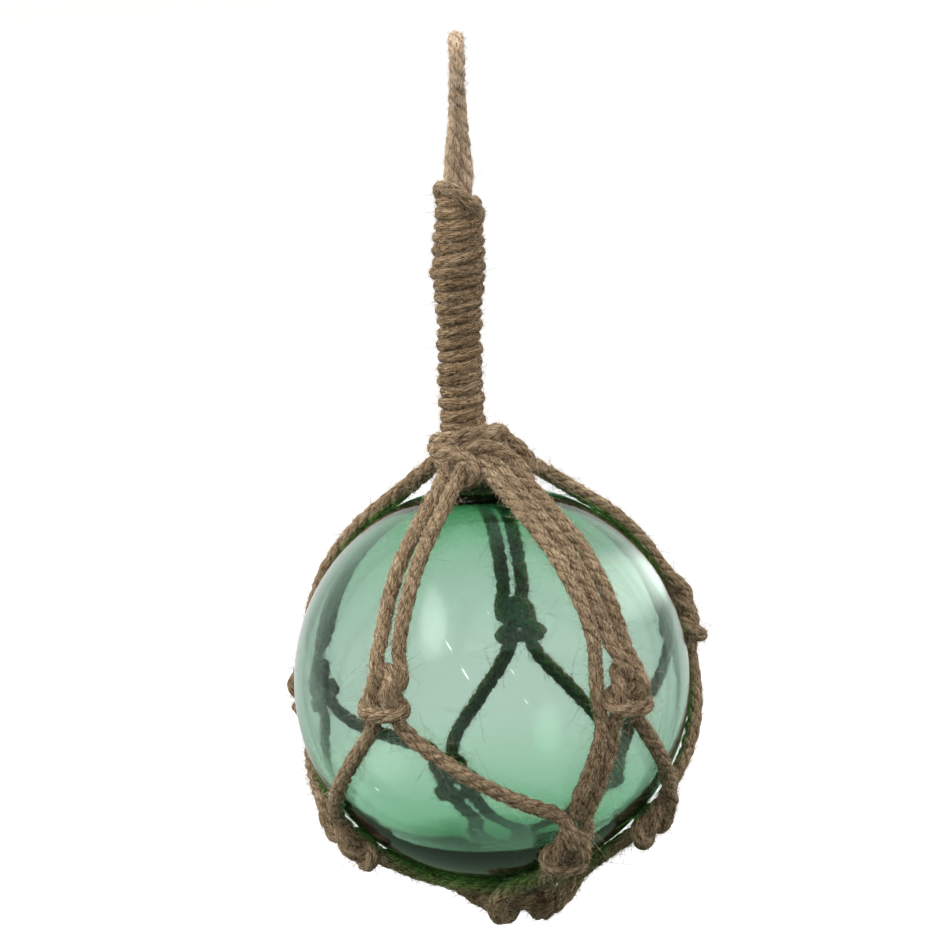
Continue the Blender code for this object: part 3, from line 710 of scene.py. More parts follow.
lashing_line = walk(from_collar(LASHING_FRONT), step, False)
in_bend = np.exp(-((lashing_line[:, 0] - BEND_ASIDE) / BEND_REACH) ** 2) * (lashing_line[:, 2] > BEND_ABOVE)
lashing_share = LASHING_THICK + BEND_THICKER * in_bend
collar_ropes = [roll_rope("collar_lashing_rope", lashing_line, lashing_share, False)]
for name, places, thick in BANDS:
    line = walk(from_collar(places), step, False)
    collar_ropes.append(roll_rope(name, line, np.full(len(line), thick), False))

# %% [markdown]
# Fluff is what makes jute look like jute. One fibre is a thin three-sided spike. Its mesh is doubled
# again and again, then every copy is set on a rope. Short straight fibres lie nearly along the rope.
# Stray ones are longer, curl and stand further off, so they have more parts and pieces of their own. A
# particle system could do this too, but plain meshes export as they are.

# %% Make a fibre, many times
def as_mesh(shape, name):
    """A finished bmesh as a mesh."""
    mesh = bpy.data.meshes.new(name)
    shape.to_mesh(mesh)
    shape.free()
    return mesh


def fibre_mesh(doublings, parts):
    """A mesh of 2 ** doublings separate spikes, each a three-sided tube of one or more parts."""
    spike = bmesh.new()
    bmesh.ops.create_grid(spike, x_segments=3, y_segments=parts, size=0.5)
    for vertex in spike.verts:
        vertex.co = (round((vertex.co.x + 0.5) * 3) % 3, round((vertex.co.y + 0.5) * parts), 0)
    bmesh.ops.remove_doubles(spike, verts=spike.verts, dist=1e-4)
    mesh = as_mesh(spike, "fibres")
    for _ in range(doublings):
        pair = bmesh.new()
        pair.from_mesh(mesh)
        pair.from_mesh(mesh)
        pair.to_mesh(mesh)
        pair.free()
    return mesh


def mesh_corners(mesh, count):
    """The ring and corner of each vertex of one spike, read from the first copy."""
    flat = np.zeros(len(mesh.vertices) * 3)
    mesh.vertices.foreach_get("co", flat)
    return flat.reshape(count, -1, 3)[0]


# %% Set fibres on ropes
# Each pair is for the short fibres and for the stray ones.
FIBRE_PARTS = (1, 3)
FIBRE_TAPER = (0.8, 0.5)
CURLS = (0.38, 0.75)
LIFTS = ((0.12, 1.1), (0.30, 1.3))
FIBRE_THICK = 0.000078
SIDEWAYS = 0.38
ROOTED = 0.97


def grow_fluff(name, ropes, doublings, shortest, longest, seed, stray=False):
    """Loose fibres on some ropes, shared out by the ropes' lengths. Stray ones are long and curled."""
    draws = np.random.default_rng(seed)
    parts = FIBRE_PARTS[stray]
    mesh = fibre_mesh(doublings, parts)
    count = 2**doublings
    lengths = np.array([np.linalg.norm(np.diff(r[0], axis=0), axis=1).sum() for r in ropes])
    which = draws.choice(len(ropes), count, p=lengths / lengths.sum())
    root, out, along = (np.zeros((count, 3)) for _ in range(3))
    for k, (fine, side, across, radius) in enumerate(ropes):
        mine = np.nonzero(which == k)[0]
        i = draws.integers(1, len(fine) - 1, len(mine))
        a = draws.uniform(0, 2 * math.pi, len(mine))[:, None]
        out[mine] = np.cos(a) * side[i] + np.sin(a) * across[i]
        along[mine] = fine[i + 1] - fine[i - 1]
        root[mine] = fine[i] + out[mine] * radius[i][:, None] * ROOTED
    along *= draws.choice((-1.0, 1.0), count)[:, None] / np.linalg.norm(along, axis=1)[:, None]
    turn = np.cross(along, out)
    reach = (shortest + (longest - shortest) * draws.random(count) ** 2)[:, None]
    lift = draws.uniform(*LIFTS[stray], count)[:, None]
    way = along + out * lift + turn * draws.normal(0.0, SIDEWAYS, count)[:, None]
    way /= np.linalg.norm(way, axis=1)[:, None]
    curl = draws.normal(0.0, CURLS[stray], (count, 3))
    cross = np.cross(way, out + 0.3 * turn)
    cross /= np.linalg.norm(cross, axis=1)[:, None]
    third = np.cross(way, cross)
    corners = mesh_corners(mesh, count)
    t = corners[:, 1] / parts
    spin = corners[:, 0] * 2 * math.pi / 3
    places = root[:, None] + (way * reach)[:, None] * t[:, None] + (curl * reach)[:, None] * t[:, None] ** 2
    from_ball = places - BALL_CENTRE
    far = np.linalg.norm(from_ball, axis=2, keepdims=True)
    places = BALL_CENTRE + from_ball / far * np.maximum(far, BALL_RADIUS + 2 * FIBRE_THICK)
    thickness = FIBRE_THICK * (1.0 - FIBRE_TAPER[stray] * t)[:, None]
    around = np.cos(spin)[:, None] * cross[:, None] + np.sin(spin)[:, None] * third[:, None]
    mesh.vertices.foreach_set("co", (places + around * thickness).ravel())
    mesh.update()
    print(name, count, "fibres,", len(mesh.polygons), "faces")
    return add_object(name, mesh)


top_fluff = grow_fluff("top_fluff", ROPES[0:1], 14, 0.0010, 0.0034, 3)
middle_fluff = grow_fluff("middle_fluff", [ROPES[1], ROPES[3]], 14, 0.0010, 0.0034, 4)
bottom_fluff = grow_fluff("bottom_fluff", [ROPES[2], ROPES[4]], 14, 0.0010, 0.0034, 6)
hanger_fluff = grow_fluff("hanger_fluff", ROPES[5:7], 14, 0.0009, 0.0026, 5)
collar_fluff = grow_fluff("collar_fluff", ROPES[7:], 12, 0.0008, 0.0028, 8)
net_strays = grow_fluff("net_strays", ROPES[0:5], 12, 0.0022, 0.0085, 11, stray=True)
hanger_strays = grow_fluff("hanger_strays", ROPES[5:], 10, 0.0015, 0.0055, 12, stray=True)

# %% [markdown]
# Under the collar, loose fibres fill the gap to the glass and keep it dark, with darker tones that paint
# the collar's shade on them. They are grown like the others, but round a ring that isn't a rope: only its
# line, its directions and its thickness are needed.

# %% Grow a skirt of fluff under the collar
SKIRT_RADIUS = 0.0115
SKIRT_THICK = 0.0022
SKIRT_LIFT = 0.6
SKIRT_PARTS = 90

round_top = np.linspace(0.0, 2 * math.pi, SKIRT_PARTS)
skirt_out = np.stack([np.cos(round_top), np.sin(round_top), np.zeros(SKIRT_PARTS)], axis=1)
skirt_up = np.tile((0.0, 0.0, 1.0), (SKIRT_PARTS, 1))
skirt_height = math.sqrt(BALL_RADIUS**2 - SKIRT_RADIUS**2) + SKIRT_LIFT * SKIRT_THICK
skirt_line = BALL_CENTRE + skirt_out * SKIRT_RADIUS + skirt_up * skirt_height
skirt_ring = (skirt_line, skirt_out, skirt_up, np.full(SKIRT_PARTS, SKIRT_THICK))
skirt_fluff = grow_fluff("skirt_fluff", [skirt_ring], 12, 0.0020, 0.0050, 9)

# %% [markdown]
# The ball is hollow: an outer sphere as blown, and an inner one turned inside out, so that light really
# passes two walls. Blown glass is thin at its belly and thick at both ends, and its surface is slightly
# wavy. A low button of glass seals it under the collar. Both walls start as the same kind of sphere and
# are pushed in or out by a rule, which keeps them round. Gas has left small bubbles all over the wall and
# a few long ones at the front. The long ones are a separate piece that glows: a painted highlight where
# they would catch the light.

# %% Shape a wall of glass
WALLS = (
    (-90, 0.0120), (-72, 0.0096), (-63, 0.0064), (-55, 0.0044), (-34, 0.0033), (0, 0.0031),
    (30, 0.0032), (50, 0.0034), (70, 0.0037), (90, 0.0050),
)
BUTTON_RADIUS = 0.0095
BUTTON_HEIGHT = 0.0016
SMOOTH_OVER = 7
OUTER_WAVES, INNER_WAVES = 0.00010, 0.00030
WAVES, WAVE_RATE = 14, 2.3


def glass_sphere(radius, wavy, draws_seed):
    """A sphere with slow waves of a given height, as a new bmesh."""
    ball = bmesh.new()
    bmesh.ops.create_uvsphere(ball, u_segments=144, v_segments=96, radius=radius)
    draws = np.random.default_rng(draws_seed)
    ways = draws.normal(0.0, 1.0, (WAVES, 3))
    starts = draws.uniform(0, 2 * math.pi, WAVES)
    for vertex in ball.verts:
        n = np.array(vertex.co) / radius
        waves = np.sin(ways @ n * WAVE_RATE + starts).sum() / WAVES
        vertex.co *= 1.0 + wavy * waves / radius
    return ball


def wall_at(latitude):
    """The wall's thickness at a latitude in degrees, without kinks."""
    off = np.linspace(-2, 2, 9)
    near = latitude + off * SMOOTH_OVER
    near = np.where(np.abs(near) > 90, np.sign(near) * 180 - near, near)
    weight = np.exp(-off**2)
    return (read_off(WALLS, near) @ weight) / weight.sum()


print("wall in mm", [round(float(wall_at(v)) * 1000, 1) for v in (-90, -60, -30, 0, 30, 60, 90)])

# %% Blow the glass
outer = glass_sphere(BALL_RADIUS, OUTER_WAVES, 4)
for vertex in outer.verts:
    flat = math.hypot(vertex.co.x, vertex.co.y) / BUTTON_RADIUS
    if vertex.co.z > 0 and flat < 1:
        vertex.co.z += BUTTON_HEIGHT * (1 - flat**2) ** 2
inner = glass_sphere(BALL_RADIUS, INNER_WAVES, 9)
for vertex in inner.verts:
    latitude = math.degrees(math.asin(max(-1.0, min(1.0, vertex.co.z / vertex.co.length))))
    vertex.co *= 1 - wall_at(latitude) / BALL_RADIUS
bmesh.ops.reverse_faces(inner, faces=inner.faces)
inner_mesh = as_mesh(inner, "inner")
outer.from_mesh(inner_mesh)
bpy.data.meshes.remove(inner_mesh)
print("two walls with", len(outer.faces), "faces")

# %% Add the bubbles
# Each streak: how far to the right and up it shows, as shares of the ball's radius, its length and width.
STREAKS = (
    (-0.212, 0.167, 0.0022, 0.00024), (-0.131, 0.030, 0.0026, 0.00026), (0.101, 0.040, 0.0012, 0.00014),
    (0.167, -0.106, 0.0011, 0.00013), (-0.570, -0.540, 0.0010, 0.00020), (-0.02, 0.33, 0.0007, 0.00010),
)
STREAK_LEAN = math.radians(-58)
STREAK_DEPTH = 0.0008
BUBBLES = 70
BUBBLE_SIZES, BUBBLE_DEPTHS = (0.00010, 0.00024), (0.0008, 0.0018)
BUBBLE_LONGER = 1.4
BUBBLE_WAY = Vector((0.1, 0.2, 1))


def add_bubble(glass, place, long, wide, way, facets):
    """An egg of air in the wall: a small sphere turned inside out."""
    egg = bmesh.new()
    bmesh.ops.create_icosphere(egg, subdivisions=facets, radius=1.0)
    out = place.normalized()
    across = out.cross(way).normalized()
    turn = Matrix((across.cross(out), across, out)).transposed()
    for vertex in egg.verts:
        vertex.co = place + turn @ Vector((vertex.co.x * long, vertex.co.y * wide, vertex.co.z * wide))
    bmesh.ops.reverse_faces(egg, faces=egg.faces)
    mesh = as_mesh(egg, "egg")
    glass.from_mesh(mesh)
    bpy.data.meshes.remove(mesh)


streaks = bmesh.new()
for aside, high, long, wide in STREAKS:
    way = tilted_right * aside + tilted_up * high - forward * math.sqrt(1 - aside**2 - high**2)
    lean = tilted_right * math.cos(STREAK_LEAN) + tilted_up * math.sin(STREAK_LEAN)
    add_bubble(streaks, way * (BALL_RADIUS - STREAK_DEPTH), long, wide, lean, 2)
# Turned back out, the streaks are glowing pieces of painted highlight, not air.
bmesh.ops.reverse_faces(streaks, faces=streaks.faces)  # These are bright pieces, not air.
bmesh.ops.translate(streaks, verts=streaks.verts, vec=Vector(BALL_CENTRE))
painted_highlight_streaks = add_object("painted_highlight_streaks", as_mesh(streaks, "painted_highlight_streaks"))
draws = np.random.default_rng(21)
for _ in range(BUBBLES):
    way = Vector(draws.normal(0.0, 1.0, 3)).normalized()
    size = draws.uniform(*BUBBLE_SIZES)
    place = way * (BALL_RADIUS - draws.uniform(*BUBBLE_DEPTHS))
    add_bubble(outer, place, size * BUBBLE_LONGER, size, BUBBLE_WAY, 1)
bmesh.ops.translate(outer, verts=outer.verts, vec=Vector(BALL_CENTRE))
for face in outer.faces:
    face.smooth = True
glass_float = add_object("glass_float", as_mesh(outer, "glass_float"))
print("glass", len(glass_float.data.polygons), "faces,", BUBBLES, "bubbles and", len(STREAKS), "streaks")

# %% [markdown]
# Materials are node trees. A few small helpers add a node, set its inputs and link others to it, so that
# each material below reads as a list of what feeds what.

# %% Helpers for node trees
def node(tree, kind, links=None, **settings):
    """Add a node. Keys of links are input names or numbers, and values are constants or outputs."""
    made = tree.nodes.new(kind)
    for key, value in settings.items():
        setattr(made, key, value)
    for key, value in (links or {}).items():
        if isinstance(value, bpy.types.NodeSocket):
            tree.links.new(value, made.inputs[key])
        else:
            made.inputs[key].default_value = value
    return made


def sums(tree, operation, *values):
    """A Math node's result."""
    return node(tree, "ShaderNodeMath", dict(enumerate(values)), operation=operation).outputs[0]


def times(tree, first, second):
    """A product."""
    return sums(tree, "MULTIPLY", first, second)


def fade(tree, value, start, end, first, last):
    """A soft step from first to last, while the value goes from start to end."""
    return node(tree, "ShaderNodeMapRange", {
        "Value": value, "From Min": start, "From Max": end, "To Min": first, "To Max": last},
        interpolation_type="SMOOTHSTEP").outputs[0]


def object_place(tree):
    """The place on the object, which is also the place in the scene."""
    return node(tree, "ShaderNodeTexCoord").outputs["Object"]


def part_of(tree, place, axis):
    """One of a place's three coordinates."""
    return node(tree, "ShaderNodeSeparateXYZ", {0: place}).outputs[axis]


def ramp(tree, value, *stops):
    """A colour or grey read from a ramp of (place, colour) stops, the two that it starts with first."""
    made = node(tree, "ShaderNodeValToRGB", {0: value})
    for k, (place, colour) in enumerate(stops):
        stop = made.color_ramp.elements[k] if k < 2 else made.color_ramp.elements.new(place)
        stop.position = place
        stop.color = (*colour, 1.0) if isinstance(colour, tuple) else (colour, colour, colour, 1.0)
    return made.outputs[0]


def blend(tree, factor, first, second, way="MIX"):
    """Two colours mixed by a factor."""
    made = node(tree, "ShaderNodeMix", data_type="RGBA", blend_type=way)
    for key, value in (("Factor_Float", factor), ("A_Color", first), ("B_Color", second)):
        socket = next(s for s in made.inputs if s.identifier == key)
        if isinstance(value, bpy.types.NodeSocket):
            tree.links.new(value, socket)
        else:
            socket.default_value = value if key == "Factor_Float" else (*value, 1.0)
    return next(s for s in made.outputs if s.identifier == "Result_Color")


def new_material(name, plain):
    """A material with plain values on its shader, given back with its node tree and its shader."""
    material = bpy.data.materials.new(name)
    material.use_nodes = True
    shader = material.node_tree.nodes["Principled BSDF"]
    for socket, value in plain.items():
        shader.inputs[socket].default_value = value
    return material, material.node_tree, shader


# %% [markdown]
# All jute shares one group: fibres seen as fine broken flecks along the rope, a mask for painted shade
# where two plies meet, and here and there a paler or browner patch. It puts out a factor for each and the
# height of the fibres for the bump. The noise reads the turn as a circle, so that no seam shows along the
# rope.

# %% Build the jute group
jute_group = bpy.data.node_groups.new("jute_fibres", "ShaderNodeTree")
for name in ("Flecks", "Groove", "Patches", "Height"):
    jute_group.interface.new_socket(name, in_out="OUTPUT", socket_type="NodeSocketFloat")
g = jute_group


def round_noise(uv_name, along, around, **settings):
    """Noise on a rope: how fast it changes along the rope and round it."""
    uv = node(g, "ShaderNodeUVMap", uv_map=uv_name).outputs[0]
    turned = times(g, part_of(g, uv, 1), 2 * math.pi)
    place = node(g, "ShaderNodeCombineXYZ", {
        0: times(g, part_of(g, uv, 0), along),
        1: times(g, sums(g, "COSINE", turned), around),
        2: times(g, sums(g, "SINE", turned), around)})
    noise = node(g, "ShaderNodeTexNoise", {"Vector": place.outputs[0], "Scale": 1.0, **settings})
    return noise.outputs[0], turned


flecks = round_noise("Fibres", 1.4, 4.4, Detail=5.0, Roughness=0.78, Distortion=1.1)[0]
slivers = round_noise("Fibres", 2.8, 10.0, Detail=2.0, Roughness=0.6, Distortion=0.5)[0]
lumps, turned = round_noise("Plies", 1.4, 1.7, Detail=4.0, Roughness=0.6, Distortion=0.8)
# Where the plies meet, the mask below gives painted shade, and the same mask lowers the bump.
ply = sums(g, "ABSOLUTE", sums(g, "COSINE", times(g, turned, 1.5)))
groove = fade(g, ply, 0.0, 0.6, 1.0, 0.0)
patches = node(g, "ShaderNodeTexNoise", {
    "Vector": object_place(g), "Scale": 110.0, "Detail": 2.0, "Roughness": 0.5}).outputs[0]
mixed = sums(g, "ADD", times(g, flecks, 0.62), times(g, slivers, 0.38))
height = sums(g, "ADD", times(g, mixed, 0.8), times(g, lumps, 0.5))
height = sums(g, "SUBTRACT", height, times(g, groove, 0.25))
node(g, "NodeGroupOutput", {
    "Flecks": mixed, "Groove": times(g, groove, lumps), "Patches": patches, "Height": height})
print("jute group with", len(g.nodes), "nodes")

# %% [markdown]
# Where a rope faces the ball, the green light that comes through the glass is painted into its colour: a
# mask by the height over the glass tints it. Under the ball, where all light has come through the thick
# bottom of the float, the painted green reaches further. Ropes and fluff share this group: a tone goes in,
# and comes out as the light leaves it.

# %% Build the green light's group
GREEN_FROM, GREEN_TO, GREEN_LOW = 0.08, 0.62, 1.2
PAINTED_GREEN_LIGHT = (0.27, 0.96, 0.28)
UNDER_FROM, UNDER_TO = 0.78, 0.98

green_group = bpy.data.node_groups.new("green_light", "ShaderNodeTree")
green_group.interface.new_socket("Tone", in_out="INPUT", socket_type="NodeSocketColor")
green_group.interface.new_socket("Tone", in_out="OUTPUT", socket_type="NodeSocketColor")
g = green_group
plain = node(g, "NodeGroupInput").outputs["Tone"]
place = object_place(g)
away = node(g, "ShaderNodeVectorMath", {0: place, 1: tuple(BALL_CENTRE)}, operation="DISTANCE")
from_height, to_height = (BALL_CENTRE[2] - share * BALL_RADIUS for share in (UNDER_FROM, UNDER_TO))
belly, below = (BALL_RADIUS + share * CORD for share in (GREEN_TO, GREEN_TO + GREEN_LOW))
reach = fade(g, part_of(g, place, 2), from_height, to_height, belly, below)
near = fade(g, away.outputs["Value"], BALL_RADIUS + GREEN_FROM * CORD, reach, 1.0, 0.0)
node(g, "NodeGroupOutput", {0: blend(g, near, plain, blend(g, 1.0, plain, PAINTED_GREEN_LIGHT, "MULTIPLY"))})
print("green light group with", len(g.nodes), "nodes")


def green_lit(tree, tone):
    """A tone with the green light of the glass painted into it."""
    lit = node(tree, "ShaderNodeGroup", {"Tone": tone}, node_tree=green_group)
    return lit.outputs["Tone"]


# %% [markdown]
# The jute itself is rough and matt, with a faint sheen. Three tones make its flecks, and painted shade
# darkens the grooves between the plies. The net, the whipping and the loop each have their own tones, as
# cords
# from different hanks have: the whipping is the brownest and the loop the palest.

# %% Make the jute
JUTE_FINISH = {
    "Roughness": 0.95, "Specular IOR Level": 0.12, "Sheen Weight": 0.12, "Sheen Roughness": 0.6,
    "Sheen Tint": (0.92, 0.82, 0.66, 1.0),
}
FLECK_STOPS = (0.425, 0.50, 0.585)
WORN_PATCH, FRESH_PATCH = (0.80, 0.77, 0.74), (1.12, 1.12, 1.14)
PAINTED_GROOVE_SHADE = (0.36, 0.30, 0.25)


def jute_material(name, dark, middle, pale, grooves):
    """A jute with its own three tones, and how dark the painted shade in the plies' grooves is."""
    material, t, shader = new_material(name, JUTE_FINISH)
    fibres = node(t, "ShaderNodeGroup", node_tree=jute_group)
    low, mid, high = FLECK_STOPS
    tone = ramp(t, fibres.outputs["Flecks"], (low, dark), (high, pale), (mid, middle))
    worn = ramp(t, fibres.outputs["Patches"], (0.35, WORN_PATCH), (0.65, FRESH_PATCH))
    tone = blend(t, 1.0, tone, worn, "MULTIPLY")
    # Painted shade: the tone is darkened in the grooves between the plies.
    hollow = blend(t, 1.0, tone, PAINTED_GROOVE_SHADE, "MULTIPLY")
    tone = blend(t, times(t, fibres.outputs["Groove"], grooves), tone, hollow)
    t.links.new(green_lit(t, tone), shader.inputs["Base Color"])
    bump = node(t, "ShaderNodeBump", {
        "Height": fibres.outputs["Height"], "Strength": 0.9, "Distance": 0.0011})
    t.links.new(bump.outputs[0], shader.inputs["Normal"])
    print(name, "made")
    return material


net_jute = jute_material("net_jute", (0.080, 0.048, 0.024), (0.345, 0.238, 0.138), (0.66, 0.51, 0.33), 1.0)
neck_jute = jute_material("neck_jute", (0.056, 0.032, 0.014), (0.290, 0.188, 0.100), (0.66, 0.485, 0.30), 0.6)
loop_jute = jute_material("loop_jute", (0.24, 0.160, 0.100), (0.78, 0.570, 0.390), (0.92, 0.745, 0.56), 0.9)


# %% Make the fluff's material
def fluff_of(name, dark, pale):
    """Loose fibres, each darker or paler than the next."""
    material, t, shader = new_material(name, {"Roughness": 0.85})
    spots = node(t, "ShaderNodeTexNoise", {"Vector": object_place(t), "Scale": 900.0, "Detail": 1.0})
    tone = ramp(t, spots.outputs[0], (0.38, dark), (0.62, pale))
    t.links.new(green_lit(t, tone), shader.inputs["Base Color"])
    print(name, "made")
    return material


pale_fluff = fluff_of("jute_fluff", (0.20, 0.13, 0.070), (0.88, 0.71, 0.49))
# Under the collar the fluff's tones are darkened: painted shade of the collar over it.
collar_shade_fluff = fluff_of("jute_fluff_shaded", (0.10, 0.065, 0.045), (0.36, 0.25, 0.19))

# %% [markdown]
# Bottle glass is green from iron. The colour is in the glass itself, so that thick places come out
# darker and greener than thin ones: an absorption for red, green and blue, as one plain colour and
# density. A ramp by height tints what passes through the surface at both ends: partly the greener colour
# of the thick glass there, partly painted shade of the collar above and of the shadow under the float,
# which is darkest at the bottom. A very fine bump stands for the skin of old glass.

# %% Make the glass
ABSORPTION = (137.0, 86.0, 114.0)
# Tints by height, bottom first: the greener thick glass, with painted shade at both ends, darkest at the
# bottom.
GLASS_TINTS_AND_SHADE = (
    (0.0, (0.13, 0.34, 0.18)), (1.0, (0.10, 0.42, 0.18)), (0.035, (0.28, 0.52, 0.33)),
    (0.07, (0.52, 0.74, 0.58)), (0.12, (0.62, 0.84, 0.69)), (0.20, (0.76, 0.91, 0.80)),
    (0.285, (0.90, 0.97, 0.92)), (0.36, (0.985, 1.0, 0.99)), (0.66, (0.985, 1.0, 0.99)),
    (0.84, (0.86, 0.97, 0.90)), (0.885, (0.76, 0.93, 0.82)), (0.955, (0.42, 0.78, 0.53)),
)
glass_material, t, shader = new_material(
    "float_glass", {"Metallic": 0.0, "Roughness": 0.012, "IOR": 1.5, "Transmission Weight": 1.0})
place = object_place(t)
climb = node(t, "ShaderNodeMapRange", {
    "Value": part_of(t, place, 2), "To Min": 0.0, "To Max": 1.0,
    "From Min": BALL_CENTRE[2] - BALL_RADIUS, "From Max": BALL_CENTRE[2] + BALL_RADIUS})
t.links.new(ramp(t, climb.outputs[0], *GLASS_TINTS_AND_SHADE), shader.inputs["Base Color"])
skin = node(t, "ShaderNodeTexNoise", {"Vector": place, "Scale": 420.0, "Detail": 3.0, "Roughness": 0.5})
bump = node(t, "ShaderNodeBump", {"Height": skin.outputs[0], "Strength": 0.05, "Distance": 0.0002})
t.links.new(bump.outputs[0], shader.inputs["Normal"])
density = max(ABSORPTION)
soak = node(t, "ShaderNodeVolumeAbsorption", {
    "Color": (*(1 - a / density for a in ABSORPTION), 1.0), "Density": density})
t.links.new(soak.outputs[0], t.nodes["Material Output"].inputs["Volume"])
print("glass with", len(GLASS_TINTS_AND_SHADE), "tints")

# %% Make the long bubbles glow as painted highlights
# The streaks glow though they are no lamp: their emission is a painted highlight.
STREAK_GLOW = (0.92, 1.0, 0.95, 1.0)
glowing_streak_material, _, _ = new_material("painted_highlight_streaks", {
    "Base Color": STREAK_GLOW, "Roughness": 0.4, "Emission Color": STREAK_GLOW, "Emission Strength": 1.3})
print("streaks made")

# %% [markdown]
# Every finished piece gets its material and rides on the float's one body. A piece that stands for a CAD
# node replaces it. The fluff and the glowing streaks of painted highlight replace none, because they are
# extra detail.

# %% Give every piece its material, body and node
for piece, material, slot, nodes in (
    (glass_float, glass_material, "float_glass", ["glass_ball"]),
    (painted_highlight_streaks, glowing_streak_material, "float_glass", []),
    (net_top_rope, net_jute, "jute_cord", ["net_top_cord"]),
    (net_middle_rope, net_jute, "jute_cord", ["net_middle_cord"]),
    (net_bottom_rope, net_jute, "jute_cord", ["net_bottom_cord"]),
    (net_extra_rope, net_jute, "jute_cord", ["net_extra_strand"]),
    (bottom_ring_rope, net_jute, "jute_cord", ["bottom_ring"]),
    *((rope, net_jute, "jute_cord", ["collar_lashing"]) for rope in collar_ropes),
    (loop_rope, loop_jute, "jute_cord", ["hanging_loop"]),
    (whipping_rope, neck_jute, "jute_cord", ["neck_whipping"]),
    *((fluff, pale_fluff, "jute_cord", []) for fluff in (
        top_fluff, middle_fluff, bottom_fluff, hanger_fluff, collar_fluff, net_strays, hanger_strays)),
    (skirt_fluff, collar_shade_fluff, "jute_cord", []),
):
    piece.data.materials.clear()
    piece.data.materials.append(material)
    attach(piece, "root")
    if nodes:
        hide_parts(*nodes)

# %% [markdown]
# The studio is a pale floor, well below the hanging float, in a soft white tent. Glass shows its shape
# only by what it bends and mirrors, so the tent is darker behind the camera, overhead, at both sides and
# below, where it is green too. The floor is hidden from mirrored and scattered rays for the same reason.
# Where the camera sees the tent itself, it is plain white.

# %% Lay the floor
FLOOR_HEIGHT = -0.95
FLOOR_HALF, FLOOR_BACK = 9.0, 3.0
floor_shape = bmesh.new()
bmesh.ops.create_grid(floor_shape, x_segments=2, y_segments=2, size=FLOOR_HALF)
bmesh.ops.translate(floor_shape, verts=floor_shape.verts, vec=(0, FLOOR_BACK, FLOOR_HEIGHT))
floor = add_object("floor", as_mesh(floor_shape, "floor"))
floor_material, _, _ = new_material("pale_floor", {
    "Base Color": (0.93, 0.93, 0.93, 1), "Roughness": 0.9, "Specular IOR Level": 0.0,
    "Emission Color": (1, 1, 1, 1), "Emission Strength": 0.5})
floor.data.materials.append(floor_material)
floor.visible_glossy = False
floor.visible_diffuse = False
print("floor at", FLOOR_HEIGHT)

# %% Put up the tent
REAR_DARK, OVER_DARK, UNDER_DARK, SIDE_DARK = 0.24, 0.5, 0.30, 0.42
TENT_GREEN, TENT_WHITE = (0.50, 1.0, 0.55), (1.0, 0.998, 0.99)
world = bpy.data.worlds.new("tent")
world.use_nodes = True
bpy.context.scene.world = world
w = world.node_tree
sky = w.nodes["Background"]
facing = node(w, "ShaderNodeTexCoord").outputs["Generated"]
rear = fade(w, part_of(w, facing, 1), -0.75, 0.15, REAR_DARK, 1.0)
over = fade(w, part_of(w, facing, 2), 0.58, 0.90, 1.0, OVER_DARK)
under = fade(w, part_of(w, facing, 2), -0.50, -0.12, UNDER_DARK, 1.0)
aside = fade(w, sums(w, "ABSOLUTE", part_of(w, facing, 0)), 0.18, 0.80, 1.0, SIDE_DARK)
light = times(w, times(w, rear, over), times(w, under, aside))
w.links.new(blend(w, under, TENT_GREEN, TENT_WHITE), sky.inputs["Color"])
print("tent with", len(w.nodes), "nodes")

# %% [markdown]
# Two soft glows in the tent make the highlights on the glass: a tall one at the left and a rounder one
# high on the right. A mirror shows what lies halfway between the eye and its own facing, so each glow is
# placed by where it has to show on the ball.

# %% Add the glows
GLOWS = (((-0.298, 0.284), 0.095, 0.22, 3.4), ((0.65, 0.47), 0.27, 0.22, 2.4))


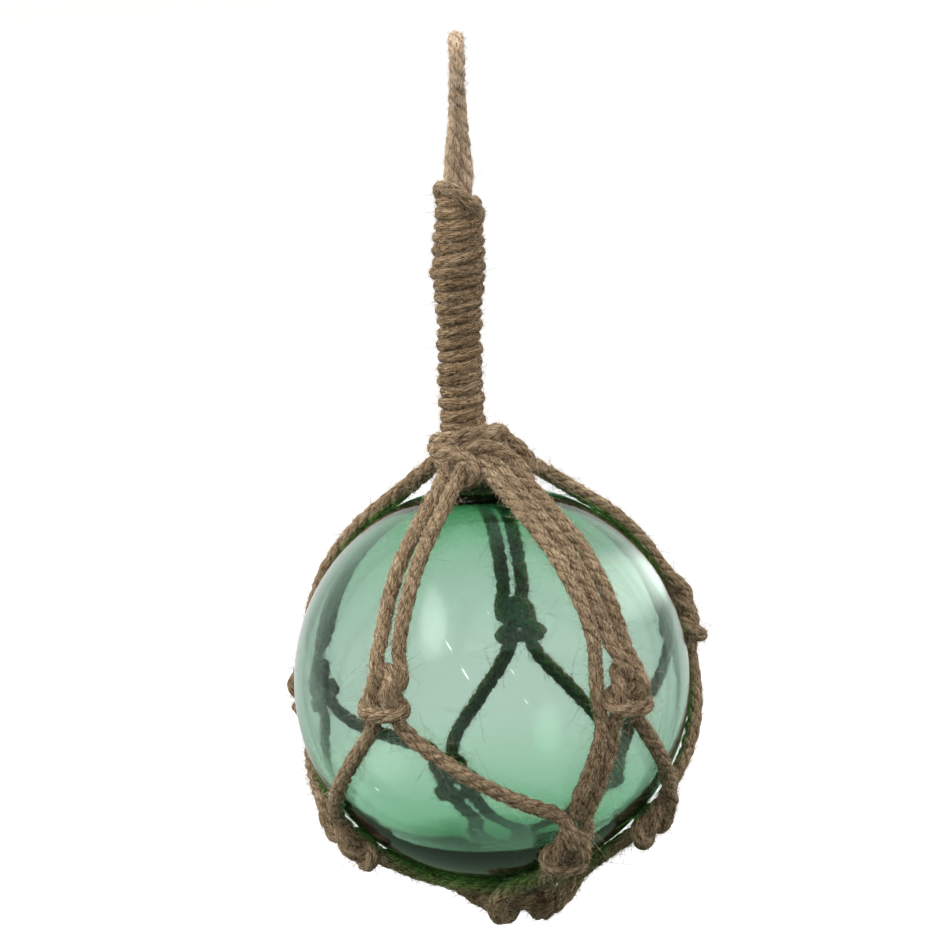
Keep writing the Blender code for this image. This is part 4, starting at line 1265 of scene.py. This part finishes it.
def glow(place, wide, tall, strength):
    """A soft oval glow in the tent, given by where the ball mirrors it: shares of the ball's radius."""
    half = node(w, "ShaderNodeVectorMath", {0: facing, 1: tuple(-forward)}, operation="ADD").outputs[0]
    half = node(w, "ShaderNodeVectorMath", {0: half}, operation="NORMALIZE").outputs[0]
    away = []
    for axis, middle, size in ((tilted_right, place[0], wide), (tilted_up, place[1], tall)):
        dot = node(w, "ShaderNodeVectorMath", {0: half, 1: tuple(axis)}, operation="DOT_PRODUCT")
        off = sums(w, "DIVIDE", sums(w, "SUBTRACT", dot.outputs["Value"], middle), size)
        away.append(times(w, off, off))
    return fade(w, sums(w, "ADD", *away), 0.0, 1.0, strength, 0.0)


for spot in GLOWS:
    light = sums(w, "ADD", light, glow(*spot))
backdrop = node(w, "ShaderNodeLightPath").outputs["Is Camera Ray"]
w.links.new(sums(w, "MAXIMUM", light, backdrop), sky.inputs["Strength"])
print(len(GLOWS), "glows")

# %% [markdown]
# The ropes need more light than the dark tent gives. Four wide lamps stand above, left, right and in
# front. They are hidden from mirrored and bent rays, so that the glass doesn't show them.

# %% Hang the lamps
SOFT_BOXES = (
    ("top_box", (-0.15, 1.0, 0.15), 1.8, 1.5, 1.5, 2.6),
    ("left_box", (-1.0, 0.40, 0.25), 1.6, 1.1, 1.3, 3.6),
    ("right_box", (1.0, 0.30, 0.30), 1.6, 1.0, 1.2, 1.9),
    ("front_box", (0.0, 0.30, 1.0), 1.8, 1.5, 1.5, 1.35),
)


def soft_box(name, direction, away, width, height, radiance):
    """A lamp of a given radiance that faces the ball. Its direction is right, up and back of the camera."""
    right, up, back = direction
    way = (right * level + up * upward - back * forward).normalized()
    lamp = bpy.data.lights.new(name, "AREA")
    lamp.shape = "RECTANGLE"
    lamp.size, lamp.size_y = width, height
    lamp.energy = radiance * math.pi * width * height
    box = add_object(name, lamp)
    box.location = Vector(BALL_CENTRE) + way * away
    box.rotation_euler = way.to_track_quat("Z", "Y").to_euler()
    box.visible_glossy = False
    box.visible_transmission = False


for settings in SOFT_BOXES:
    soft_box(*settings)
print(len(SOFT_BOXES), "lamps")

# %% Set how the light is followed
bpy.context.scene.view_settings.view_transform = "Standard"
cycles = bpy.context.scene.cycles
cycles.max_bounces = 16
cycles.transmission_bounces = 16
cycles.transparent_max_bounces = 12
cycles.sample_clamp_indirect = 6.0
print("bounces", cycles.max_bounces)
